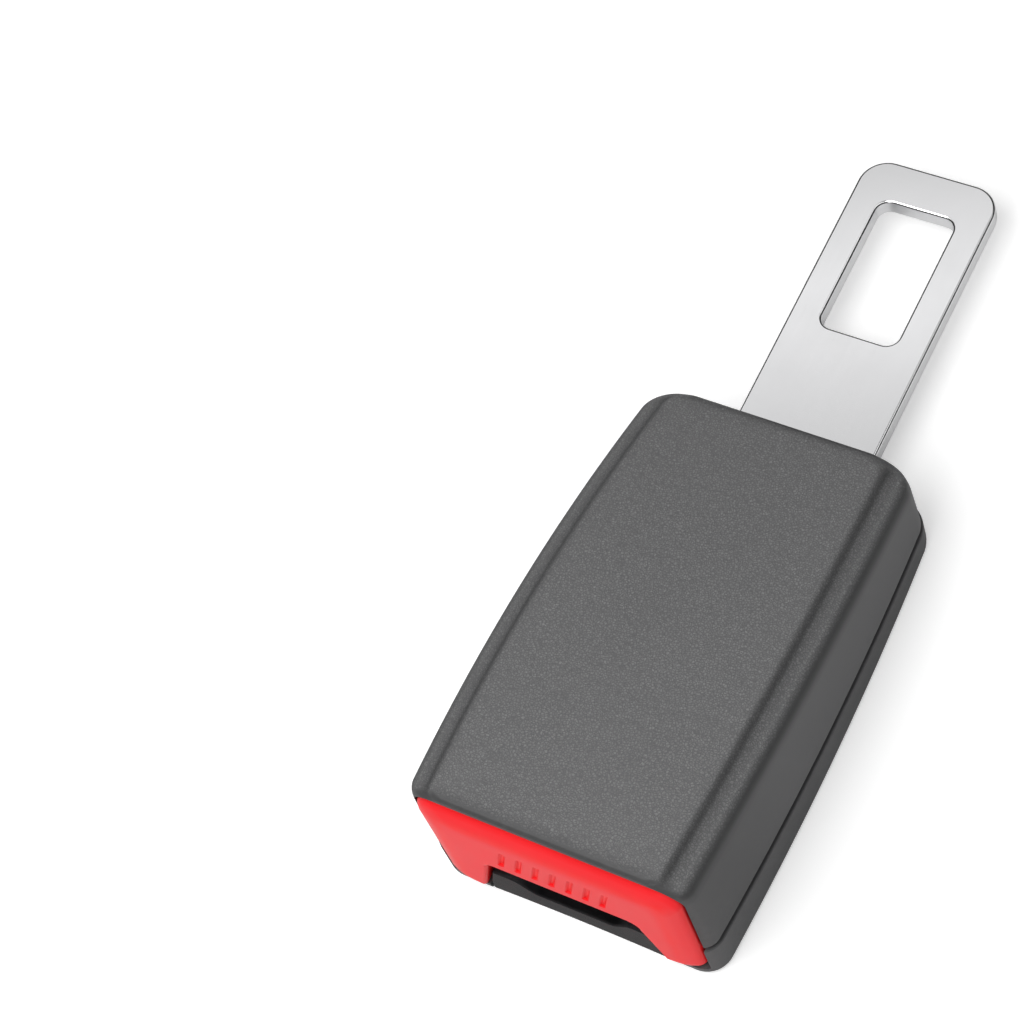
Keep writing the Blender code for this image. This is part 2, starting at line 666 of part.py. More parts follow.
def build_tongue_plate(material):
    """One stamped plate: tongue outside, buckle floor inside, with slot, tooth hole and rivet holes."""
    half = TONGUE_WIDTH / 2
    low = PLATE_BOTTOM - CUT_MARGIN
    high = PLATE_TOP + CUT_MARGIN
    tip = arc((half - TIP_CORNER, TIP_Y - TIP_CORNER), TIP_CORNER, 0, 90, TIP_STEPS)
    tip += arc((-half + TIP_CORNER, TIP_Y - TIP_CORNER), TIP_CORNER, 90, 180, TIP_STEPS)
    outline = [(-half, BUTTON_ROOM_END), (half, BUTTON_ROOM_END)] + tip
    plate = prism("tongue_plate", outline, PLATE_BOTTOM, PLATE_TOP, "Z", material)
    slot_far = TIP_Y - SLOT_FROM_TIP
    slot = rounded_rectangle(-SLOT_WIDTH / 2, SLOT_WIDTH / 2, slot_far - SLOT_LENGTH, slot_far, SLOT_CORNER)
    cut(plate, prism("tongue_slot", slot, low, high, "Z"))
    hole_back = TOOTH_REAR + TOOTH_HOLE_MARGIN
    hole_front = TOOTH_REAR - TOOTH_LENGTH - 2 * TOOTH_HOLE_MARGIN
    hole = rounded_rectangle(-EJECTOR_SLOT_HALF, EJECTOR_SLOT_HALF, hole_front, hole_back, TOOTH_HOLE_CORNER)
    cut(plate, prism("tooth_hole", hole, low, high, "Z"))
    for side, sign in SIDES:
        x = sign * RIVET_X
        radius = RIVET_SHANK_RADIUS + SEAT_GAP
        cut(plate, cylinder(f"plate_rivet_hole_{side}", radius, (x, RIVET_Y, low), (x, RIVET_Y, high)))
    round_edges(plate, PLATE_EDGE_RADIUS)
    return plate


def build_frame(material):
    """Folded U-channel with notches for the latch's ears, holes for its pin and sloping ends."""
    fold = FRAME_FOLD_RADIUS
    outline = (
        [(-FRAME_OUTER, FRAME_TOP)]
        + arc((-FRAME_OUTER + fold, BASE_BOTTOM + fold), fold, 180, 270, SMALL_ARC_STEPS)
        + arc((FRAME_OUTER - fold, BASE_BOTTOM + fold), fold, 270, 360, SMALL_ARC_STEPS)
        + [(FRAME_OUTER, FRAME_TOP), (FRAME_INNER, FRAME_TOP), (FRAME_INNER, BASE_TOP)]
        + [(-FRAME_INNER, BASE_TOP), (-FRAME_INNER, FRAME_TOP)]
    )
    frame = prism("buckle_frame", outline, BUTTON_ROOM_END, FRAME_REAR, "Y", material)
    above = FRAME_TOP + CUT_MARGIN
    notch_front = EAR_FRONT - EAR_NOTCH_MARGIN
    notch_back = EAR_FRONT + EAR_LENGTH + EAR_NOTCH_MARGIN
    notch_low = LATCH_BOTTOM - 2 * RUNNING_GAP
    cut(frame, box("ear_notch", (-ACROSS, notch_front, notch_low), (ACROSS, notch_back, above)))
    nose_slope = [
        (BUTTON_ROOM_END - CUT_MARGIN, MOUTH_TOP),
        (BUTTON_ROOM_END + FRAME_NOSE_LENGTH, MOUTH_TOP),
        (LATCH_NOSE - FRAME_NOSE_LENGTH, above),
        (BUTTON_ROOM_END - CUT_MARGIN, above),
    ]
    cut(frame, prism("frame_nose_slope", nose_slope, -ACROSS, ACROSS, "X"))
    tail_start = PIVOT_Y + PIN_HEAD_RADIUS
    tail_height = top_height(FRAME_REAR) - CASING_WALL - FRAME_HEADROOM
    tail_slope = [
        (tail_start, FRAME_TOP),
        (FRAME_REAR + CUT_MARGIN, tail_height),
        (FRAME_REAR + CUT_MARGIN, above),
        (tail_start, above),
    ]
    cut(frame, prism("frame_tail_slope", tail_slope, -ACROSS, ACROSS, "X"))
    pin_ends = ((-ACROSS, PIVOT_Y, PIVOT_HEIGHT), (ACROSS, PIVOT_Y, PIVOT_HEIGHT))
    cut(frame, cylinder("frame_pin_hole", PIN_RADIUS + SEAT_GAP, *pin_ends))
    for side, sign in SIDES:
        x = sign * RIVET_X
        radius = RIVET_SHANK_RADIUS + SEAT_GAP
        cut(frame, cylinder(f"frame_rivet_hole_{side}", radius, (x, RIVET_Y, 0), (x, RIVET_Y, PLATE_BOTTOM)))
    return frame


def build_rivet(side, sign, material):
    """A domed rivet through the plate and the frame's floor."""
    low = BASE_BOTTOM - SEAT_GAP
    high = PLATE_TOP + SEAT_GAP
    profile = [
        (RIVET_CROWN * RIVET_HEAD_RADIUS, low - RIVET_HEAD_HEIGHT + SEAT_GAP),
        (RIVET_HEAD_RADIUS, low - RIVET_RIM * RIVET_HEAD_HEIGHT),
        (RIVET_HEAD_RADIUS, low),
        (RIVET_SHANK_RADIUS, low),
        (RIVET_SHANK_RADIUS, high),
        (RIVET_HEAD_RADIUS, high),
        (RIVET_HEAD_RADIUS, high + RIVET_RIM * RIVET_HEAD_HEIGHT),
        (RIVET_CROWN * RIVET_HEAD_RADIUS, high + RIVET_HEAD_HEIGHT),
    ]
    base = (sign * RIVET_X, RIVET_Y, 0)
    return turned(f"frame_rivet_{side}", profile, base, (0, 0, 1), material)


def build_latch(material):
    """Latch plate with rolled knuckle, side ears and a ramped tooth, its origin on the pivot."""
    latch = box(
        "latch_plate",
        (-INNER_PIECE_HALF, LATCH_NOSE, LATCH_BOTTOM),
        (INNER_PIECE_HALF, PIVOT_Y - KNUCKLE_RADIUS / 2, LATCH_TOP),
        material,
    )
    ear_half = ARM_OUTER - SEAT_GAP / 2
    ears_low = (-ear_half, EAR_FRONT, LATCH_BOTTOM)
    ears = box("latch_ears", ears_low, (ear_half, EAR_FRONT + EAR_LENGTH, LATCH_TOP))
    half = INNER_PIECE_HALF
    knuckle_ends = ((-half, PIVOT_Y, PIVOT_HEIGHT), (half, PIVOT_Y, PIVOT_HEIGHT))
    knuckle = cylinder("latch_knuckle", KNUCKLE_RADIUS, *knuckle_ends)
    tooth_bottom = PLATE_TOP - TOOTH_BITE
    tooth_front = TOOTH_REAR - TOOTH_LENGTH
    outline = [
        (TOOTH_REAR, PIVOT_HEIGHT),
        (TOOTH_REAR, tooth_bottom),
        (tooth_front + TOOTH_TOE, tooth_bottom),
        (tooth_front, tooth_bottom + TOOTH_TOE),
        (tooth_front - TOOTH_RAMP, PIVOT_HEIGHT),
    ]
    tooth = prism("latch_tooth", outline, -TOOTH_HALF_WIDTH, TOOTH_HALF_WIDTH, "X")
    add(latch, ears, knuckle, tooth)
    pin_ends = ((-ACROSS, PIVOT_Y, PIVOT_HEIGHT), (ACROSS, PIVOT_Y, PIVOT_HEIGHT))
    cut(latch, cylinder("latch_pin_hole", PIN_RADIUS + SEAT_GAP, *pin_ends))
    place_origin(latch, (0, PIVOT_Y, PIVOT_HEIGHT))
    return latch


def build_latch_pin(material):
    """Pivot pin across the frame, with a flat head at each end."""
    profile = [
        (PIN_HEAD_RADIUS, -PIN_REACH - PIN_HEAD_LENGTH),
        (PIN_HEAD_RADIUS, -PIN_REACH),
        (PIN_RADIUS, -PIN_REACH),
        (PIN_RADIUS, PIN_REACH),
        (PIN_HEAD_RADIUS, PIN_REACH),
        (PIN_HEAD_RADIUS, PIN_REACH + PIN_HEAD_LENGTH),
    ]
    return turned("latch_pin", profile, (0, PIVOT_Y, PIVOT_HEIGHT), (1, 0, 0), material)


def button_half_width():
    """Half the button's width: what the casing's two cheeks leave at the front."""
    return half_width(FRONT_Y) - BUTTON_CHEEK - RUNNING_GAP


def button_ring(depth, side_inset, top_inset, bottom_inset):
    """Return one outline of the button's block, in a plane of constant y."""
    half = button_half_width() - side_inset
    high = BUTTON_TOP - top_inset
    low = BUTTON_BOTTOM + bottom_inset
    corner = BUTTON_CORNER
    small = 2 * BUTTON_EDGE_RADIUS
    points = (
        arc((half - corner, high - corner), corner, 0, 90)
        + arc((-half + corner, high - corner), corner, 90, 180)
        + arc((-half + small, low + small), small, 180, 270)
        + arc((half - small, low + small), small, 270, 360)
    )
    return [(x, FRONT_Y + depth, z) for x, z in points]


def mouth_outline():
    """Return the U-shaped mouth's outline in (x, z), from below the button up round its arch."""
    centre = (MOUTH_TOP_HALF_WIDTH - MOUTH_CORNER, MOUTH_TOP - MOUTH_CORNER)
    low = MOUTH_BOTTOM_HALF_WIDTH
    below = BUTTON_BOTTOM - CUT_MARGIN
    return (
        [(low, below), (low, BUTTON_BOTTOM)]
        + arc(centre, MOUTH_CORNER, 0, 90, SMALL_ARC_STEPS)
        + arc((-centre[0], centre[1]), MOUTH_CORNER, 90, 180, SMALL_ARC_STEPS)
        + [(-low, BUTTON_BOTTOM), (-low, below)]
    )


def mouth_half_width(z):
    """Half the mouth's width on its straight flank, at a height."""
    share = (z - BUTTON_BOTTOM) / (MOUTH_TOP - MOUTH_CORNER - BUTTON_BOTTOM)
    return MOUTH_BOTTOM_HALF_WIDTH - MOUTH_FLARE * share


def ramp_slope():
    """Rise over run of the arms' ramps, so that the full press lifts the latch by its full angle."""
    lift = math.radians(LATCH_LIFT_DEG)
    half = LATCH_THICKNESS / 2
    rise = EAR_FRONT_REACH * math.sin(lift) + half * (1 - math.cos(lift))
    drift = EAR_FRONT_REACH * (1 - math.cos(lift)) - half * math.sin(lift)
    return rise / (BUTTON_TRAVEL - drift)


def arm_outline():
    """Return an arm's outline in (y, z): neck, crest, ramp under the latch's ear, and tail."""
    run = BUTTON_TRAVEL + RAMP_OVERRUN
    foot = LATCH_BOTTOM - RAMP_GAP
    crest = foot + run * ramp_slope()
    back = BUTTON_FACE_BACK - CUT_MARGIN
    return [
        (back, ARM_BOTTOM),
        (ARM_END, ARM_BOTTOM),
        (ARM_END, foot - ARM_TOE),
        (EAR_FRONT + ARM_TOE, foot - ARM_TOE),
        (EAR_FRONT - run, crest),
        (EAR_FRONT - run - RAMP_CREST, crest),
        (EAR_FRONT - run - 2 * RAMP_CREST, ARM_NECK_TOP),
        (back, ARM_NECK_TOP),
    ]


def button_arms():
    """Return the bodies of both arms, their spring feet and their roots in the button's face."""
    parts = []
    foot_top = min(BUTTON_SPRING_Z + BUTTON_SPRING_RADIUS, LATCH_BOTTOM - RAMP_GAP - ARM_TOE - JOIN_MARGIN)
    root_y = (BUTTON_FACE_BACK - JOIN_MARGIN, BUTTON_FACE_BACK + CUT_MARGIN)
    root_z = (ARM_BOTTOM + JOIN_MARGIN, ARM_NECK_TOP + CUT_MARGIN)
    foot_y = (ARM_END - ARM_FOOT_THICKNESS, ARM_END - JOIN_MARGIN / 2)
    foot_z = (ARM_BOTTOM + JOIN_MARGIN, foot_top)
    foot_far = BUTTON_SPRING_X + BUTTON_SPRING_RADIUS - JOIN_MARGIN
    middle = (ARM_INNER + ARM_OUTER) / 2
    for side, sign in SIDES:
        low, high = sorted((sign * ARM_INNER, sign * ARM_OUTER))
        parts.append(prism(f"arm_{side}", arm_outline(), low, high, "X"))
        near = ARM_INNER + JOIN_MARGIN
        parts.append(side_box(f"arm_foot_{side}", sign, near, foot_far, foot_y, foot_z))
        root = (middle - ARM_ROOT_WIDTH / 2, middle + ARM_ROOT_WIDTH / 2)
        parts.append(side_box(f"arm_root_{side}", sign, *root, root_y, root_z))
    return parts


def grip_bars():
    """Return the cutters of the slanted finger grooves in the button's flat face."""
    bars = []
    low = MOUTH_TOP + GRIP_BAR_ABOVE_MOUTH
    high = low + GRIP_BAR_HEIGHT
    half = GRIP_BAR_WIDTH / 2
    lean = GRIP_BAR_SLANT / 2
    for i in range(GRIP_BAR_COUNT):
        centre = (i - (GRIP_BAR_COUNT - 1) / 2) * GRIP_BAR_PITCH
        outline = [
            (centre - half - lean, low),
            (centre + half - lean, low),
            (centre + half + lean, high),
            (centre - half + lean, high),
        ]
        bars.append(prism(f"grip_bar_{i + 1}", outline, FRONT_Y - CUT_MARGIN, FRONT_Y + GRIP_BAR_DEPTH, "Y"))
    return bars


def build_button(material):
    """Red button: a hollow cap with soft bands, the mouth's cut-out, finger grooves and two arms."""
    edge = BUTTON_EDGE_RADIUS
    band = BUTTON_BAND_SETBACK
    width = BUTTON_BAND_WIDTH
    height = BUTTON_BAND_HEIGHT
    crease = BUTTON_CREASE_INSET
    rings = [
        button_ring(0, width, height, edge),
        button_ring(band * BUTTON_CREASE_FALL, width * crease, height * crease, edge * crease),
        button_ring(band * BUTTON_BROW_FALL, edge, edge, 0),
        button_ring(band + edge, 0, 0, 0),
        button_ring(BUTTON_SKIRT_DEPTH, 0, 0, 0),
    ]
    button = skin("press_button", rings, material)
    half = button_half_width() - BUTTON_WALL
    low = BUTTON_BOTTOM + BUTTON_WALL
    high = BUTTON_TOP - BUTTON_WALL
    hollow = rounded_rectangle(-half, half, low, high, BUTTON_CORNER / 2)
    skirt_end = FRONT_Y + BUTTON_SKIRT_DEPTH + CUT_MARGIN
    cut(button, prism("button_hollow", hollow, BUTTON_FACE_BACK, skirt_end, "Y"))
    add(button, *button_arms())
    cut(button, prism("mouth_cut", mouth_outline(), FRONT_Y - CUT_MARGIN, skirt_end, "Y"))
    cut(button, *grip_bars())
    place_origin(button, (0, FRONT_Y, ARM_BOTTOM))
    return button


def build_mouth_guide(material):
    """Glossy black lip and ramped floor that lead the belt's tongue onto the plate."""
    floor = BASE_BOTTOM
    low_half = mouth_half_width(floor) - GUIDE_GAP
    high_half = mouth_half_width(PLATE_TOP) - GUIDE_GAP
    lap_half = mouth_half_width(floor + LIP_LAP) - GUIDE_GAP
    outline = [(-low_half, floor), (low_half, floor), (high_half, PLATE_TOP), (-high_half, PLATE_TOP)]
    front = FRONT_Y + LIP_SETBACK
    guide = prism("mouth_guide", outline, front, BUTTON_ROOM_END - SEAT_GAP, "Y", material)
    lip = arc((-low_half + LIP_CORNER, LIP_BOTTOM + LIP_CORNER), LIP_CORNER, 180, 270)
    lip += arc((low_half - LIP_CORNER, LIP_BOTTOM + LIP_CORNER), LIP_CORNER, 270, 360)
    lip += [(low_half, floor), (lap_half, floor + LIP_LAP), (-lap_half, floor + LIP_LAP), (-low_half, floor)]
    add(guide, prism("mouth_lip", lip, front, front + LIP_THICKNESS, "Y"))
    ramp = [
        (front - CUT_MARGIN, LIP_TOP),
        (front, LIP_TOP),
        (front + GUIDE_RAMP_DEPTH, PLATE_TOP),
        (front + GUIDE_RAMP_DEPTH, PLATE_TOP + CUT_MARGIN),
        (front - CUT_MARGIN, PLATE_TOP + CUT_MARGIN),
    ]
    cut(guide, prism("lip_ramp", ramp, -ACROSS, ACROSS, "X"))
    return guide


def build_ejector(material):
    """Slider with two prongs astride the latch's tooth and a peg for its spring."""
    half = INNER_PIECE_HALF
    slot = EJECTOR_SLOT_HALF
    outline = [
        (-half, EJECTOR_FRONT),
        (-slot, EJECTOR_FRONT),
        (-slot, EJECTOR_BLOCK_FRONT),
        (slot, EJECTOR_BLOCK_FRONT),
        (slot, EJECTOR_FRONT),
        (half, EJECTOR_FRONT),
        (half, EJECTOR_BACK),
        (-half, EJECTOR_BACK),
    ]
    ejector = prism("ejector", outline, SLIDE_BOTTOM, SLIDE_BOTTOM + EJECTOR_PRONG_HEIGHT, "Z", material)
    block = box(
        "ejector_block",
        (-half + JOIN_MARGIN, EJECTOR_BLOCK_FRONT + JOIN_MARGIN, SLIDE_BOTTOM + JOIN_MARGIN),
        (half - JOIN_MARGIN, EJECTOR_BACK - JOIN_MARGIN / 2, EJECTOR_TOP),
    )
    peg_start = (0, EJECTOR_BACK - CUT_MARGIN, EJECTOR_SPRING_Z)
    peg_end = (0, EJECTOR_BACK + SPRING_PEG_LENGTH, EJECTOR_SPRING_Z)
    peg = cylinder("ejector_peg", spring_peg_radius(EJECTOR_SPRING_RADIUS), peg_start, peg_end)
    add(ejector, block, peg)
    place_origin(ejector, (0, EJECTOR_FRONT, SLIDE_BOTTOM))
    return ejector


def build_spring_seat(material):
    """Fixed end block of the ejector's spring, on the plate between the frame's walls."""
    half = INNER_PIECE_HALF
    seat = box("spring_seat", (-half, SEAT_FRONT, SLIDE_BOTTOM), (half, SEAT_BACK, EJECTOR_TOP), material)
    peg_start = (0, SEAT_FRONT - SPRING_PEG_LENGTH, EJECTOR_SPRING_Z)
    peg_end = (0, SEAT_FRONT + CUT_MARGIN, EJECTOR_SPRING_Z)
    add(seat, cylinder("seat_peg", spring_peg_radius(EJECTOR_SPRING_RADIUS), peg_start, peg_end))
    return seat


def coil_height(turn_number, turns, length):
    """Height of the wire's centre along a coil whose first and last turns lie flat."""
    wire = SPRING_WIRE_RADIUS
    closed = 2 * wire + JOIN_MARGIN / 2
    pitch_share = min(max((turn_number - 1) / (turns - 2), 0.0), 1.0)
    lead_in = closed * min(turn_number, 1.0)
    lead_out = closed * max(turn_number - (turns - 1), 0.0)
    return wire + lead_in + (length - 2 * wire - 2 * closed) * pitch_share + lead_out


def build_spring(name, start, end, radius, turns, material):
    """A wire coil between two points."""
    start = Vector(start)
    along = Vector(end) - start
    turn = along.to_track_quat("Z", "Y").to_matrix()
    wire = SPRING_WIRE_RADIUS
    rings = []
    for i in range(turns * COIL_STEPS + 1):
        turn_number = i / COIL_STEPS
        angle = 2 * math.pi * turn_number
        outward = Vector((math.cos(angle), math.sin(angle), 0))
        height = coil_height(turn_number, turns, along.length)
        ring = []
        for k in range(WIRE_SIDES):
            around = 2 * math.pi * k / WIRE_SIDES
            across = radius - wire + wire * math.cos(around)
            point = outward * across + Vector((0, 0, height + wire * math.sin(around)))
            ring.append(start + turn @ point)
        rings.append(ring)
    return skin(name, rings, material)


def build_springs(material):
    """The ejector's, the button's two and the latch's return springs."""
    z = EJECTOR_SPRING_Z
    start = (0, EJECTOR_BACK + SEAT_GAP, z)
    end = (0, SEAT_FRONT - SEAT_GAP, z)
    build_spring("ejector_spring", start, end, EJECTOR_SPRING_RADIUS, EJECTOR_SPRING_TURNS, material)
    for side, sign in SIDES:
        start = (sign * BUTTON_SPRING_X, BUTTON_SPRING_START, BUTTON_SPRING_Z)
        end = (sign * BUTTON_SPRING_X, BUTTON_SPRING_END, BUTTON_SPRING_Z)
        name = f"button_spring_{side}"
        build_spring(name, start, end, BUTTON_SPRING_RADIUS, BUTTON_SPRING_TURNS, material)
    ceiling = top_height(LATCH_SPRING_Y + LATCH_SPRING_RADIUS) - CASING_WALL
    start = (0, LATCH_SPRING_Y, LATCH_TOP + SEAT_GAP)
    end = (0, LATCH_SPRING_Y, ceiling - SEAT_GAP)
    build_spring("latch_spring", start, end, LATCH_SPRING_RADIUS, LATCH_SPRING_TURNS, material)


def screw_tip():
    """Height of a casing screw's tip above the underside."""
    return SCREW_HEAD_RECESS + SCREW_HEAD_HEIGHT + SCREW_LENGTH


def build_screw(place, x, y, material):
    """Self-tapping casing screw with a pan head and a cross recess."""
    low = SCREW_HEAD_RECESS
    high = low + SCREW_HEAD_HEIGHT - SEAT_GAP
    tip = screw_tip()
    profile = [
        (SCREW_HEAD_CROWN * SCREW_HEAD_RADIUS, low),
        (SCREW_HEAD_RADIUS, low + SCREW_HEAD_RIM * SCREW_HEAD_HEIGHT),
        (SCREW_HEAD_RADIUS, high),
        (SCREW_SHANK_RADIUS, high),
        (SCREW_SHANK_RADIUS, tip - SCREW_SHANK_RADIUS),
        (SCREW_TIP * SCREW_SHANK_RADIUS, tip),
    ]
    screw = turned(f"casing_screw_{place}", profile, (x, y, 0), (0, 0, 1), material, SCREW_STEPS)
    reach = CROSS_REACH * SCREW_HEAD_RADIUS
    slit = CROSS_HALF_WIDTH * SCREW_HEAD_RADIUS
    depth = low + CROSS_DEPTH * SCREW_HEAD_HEIGHT
    cut(
        screw,
        box(f"recess_across_{place}", (x - reach, y - slit, -CUT_MARGIN), (x + reach, y + slit, depth)),
        box(f"recess_along_{place}", (x - slit, y - reach, -CUT_MARGIN), (x + slit, y + reach, depth)),
    )
    return screw


def main():
    """Build every piece of the extender."""
    clear_scene()
    grained = make_material("grained_plastic", (0.115, 0.115, 0.118), 0.55, 0.0)
    tray = make_material("satin_plastic", (0.080, 0.080, 0.082), 0.45, 0.0)
    black = make_material("black_plastic", (0.016, 0.016, 0.017), 0.30, 0.0)
    red = make_material("red_plastic", (0.80, 0.030, 0.035), 0.35, 0.0)
    bright = make_material("bright_steel", (0.78, 0.78, 0.79), 0.22, 1.0)
    zinc = make_material("zinc_steel", (0.55, 0.56, 0.58), 0.38, 1.0)
    spring_steel = make_material("spring_steel", (0.42, 0.43, 0.45), 0.30, 1.0)
    white = make_material("natural_plastic", (0.62, 0.61, 0.57), 0.50, 0.0)

    build_upper_casing(grained)
    build_lower_casing(tray)
    build_mouth_guide(black)
    build_button(red)
    build_tongue_plate(bright)
    build_frame(zinc)
    for side, sign in SIDES:
        build_rivet(side, sign, zinc)
    build_latch(zinc)
    build_latch_pin(spring_steel)
    build_ejector(white)
    build_spring_seat(white)
    build_springs(spring_steel)
    for place, x, y in screw_places():
        build_screw(place, x, y, zinc)


main()
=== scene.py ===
"""Looks of a rigid seat belt extender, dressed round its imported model.

The frame's own axes hold here: +X across the width, +Y towards the tongue's tip, +Z up, in metres.
Each visible shell is modelled again with soft edges and rides on the body that carries it.
"""

import logging
import math
from dataclasses import dataclass
from enum import Enum
from typing import Callable, Sequence

import bmesh
import bpy
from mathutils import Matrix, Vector


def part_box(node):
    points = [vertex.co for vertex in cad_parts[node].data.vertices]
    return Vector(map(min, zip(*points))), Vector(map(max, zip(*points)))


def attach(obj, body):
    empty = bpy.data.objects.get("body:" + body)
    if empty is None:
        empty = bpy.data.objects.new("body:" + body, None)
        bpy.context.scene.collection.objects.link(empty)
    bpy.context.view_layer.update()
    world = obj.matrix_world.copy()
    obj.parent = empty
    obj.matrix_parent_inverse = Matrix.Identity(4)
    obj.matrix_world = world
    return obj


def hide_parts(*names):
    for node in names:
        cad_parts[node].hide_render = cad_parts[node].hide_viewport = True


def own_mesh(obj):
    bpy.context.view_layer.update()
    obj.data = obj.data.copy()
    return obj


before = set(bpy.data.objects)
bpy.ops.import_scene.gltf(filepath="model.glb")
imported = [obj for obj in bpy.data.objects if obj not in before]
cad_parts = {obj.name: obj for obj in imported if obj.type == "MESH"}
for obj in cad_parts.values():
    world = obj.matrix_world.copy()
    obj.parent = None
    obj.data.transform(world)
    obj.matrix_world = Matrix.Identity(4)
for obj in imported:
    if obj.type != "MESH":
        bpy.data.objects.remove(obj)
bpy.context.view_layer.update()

MM = 0.001
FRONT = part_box("press_button")[0].y
HALF_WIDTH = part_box("lower_casing")[1].x
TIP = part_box("tongue_plate")[1].y

RUNNING_GAP = 0.35 * MM
SEAT_GAP = 0.3 * MM
CUT_MARGIN = 1.0 * MM
WELD = 0.012 * MM
ROD_SIDES = 40
RIVET_X = 7.0 * MM
RIVET_Y = -5.05 * MM

Point = tuple[float, float, float]
Flat = tuple[float, float]
Colour = tuple[float, float, float]
Height = Callable[[float], float]
Piece = bpy.types.Object
Material = bpy.types.Material
Tree = bpy.types.NodeTree
Node = bpy.types.Node
Socket = bpy.types.NodeSocket
Edge = bmesh.types.BMEdge

log = logging.getLogger("extender")


class Cap(Enum):
    """How the end of a lofted body is closed."""

    FLAT = "one face"
    LADDER = "strips straight across"


class Operation(Enum):
    """What a tool body does to the piece it meets."""

    ADD = "UNION"
    CUT = "DIFFERENCE"
    KEEP = "INTERSECT"


class Axis(Enum):
    """The way an outline is extruded."""

    ACROSS = "along X"
    LENGTHWAYS = "along Y"


class Side(Enum):
    """The two sides of the extender, by the sign of x."""

    LEFT = -1
    RIGHT = 1

    @property
    def label(self) -> str:
        """Return the side's name for a piece."""
        return self.name.lower()

    def between(self, near: float, far: float) -> Flat:
        """Return two distances from the middle as the smaller and the larger x on this side."""
        low, high = sorted((self.value * near, self.value * far))
        return low, high


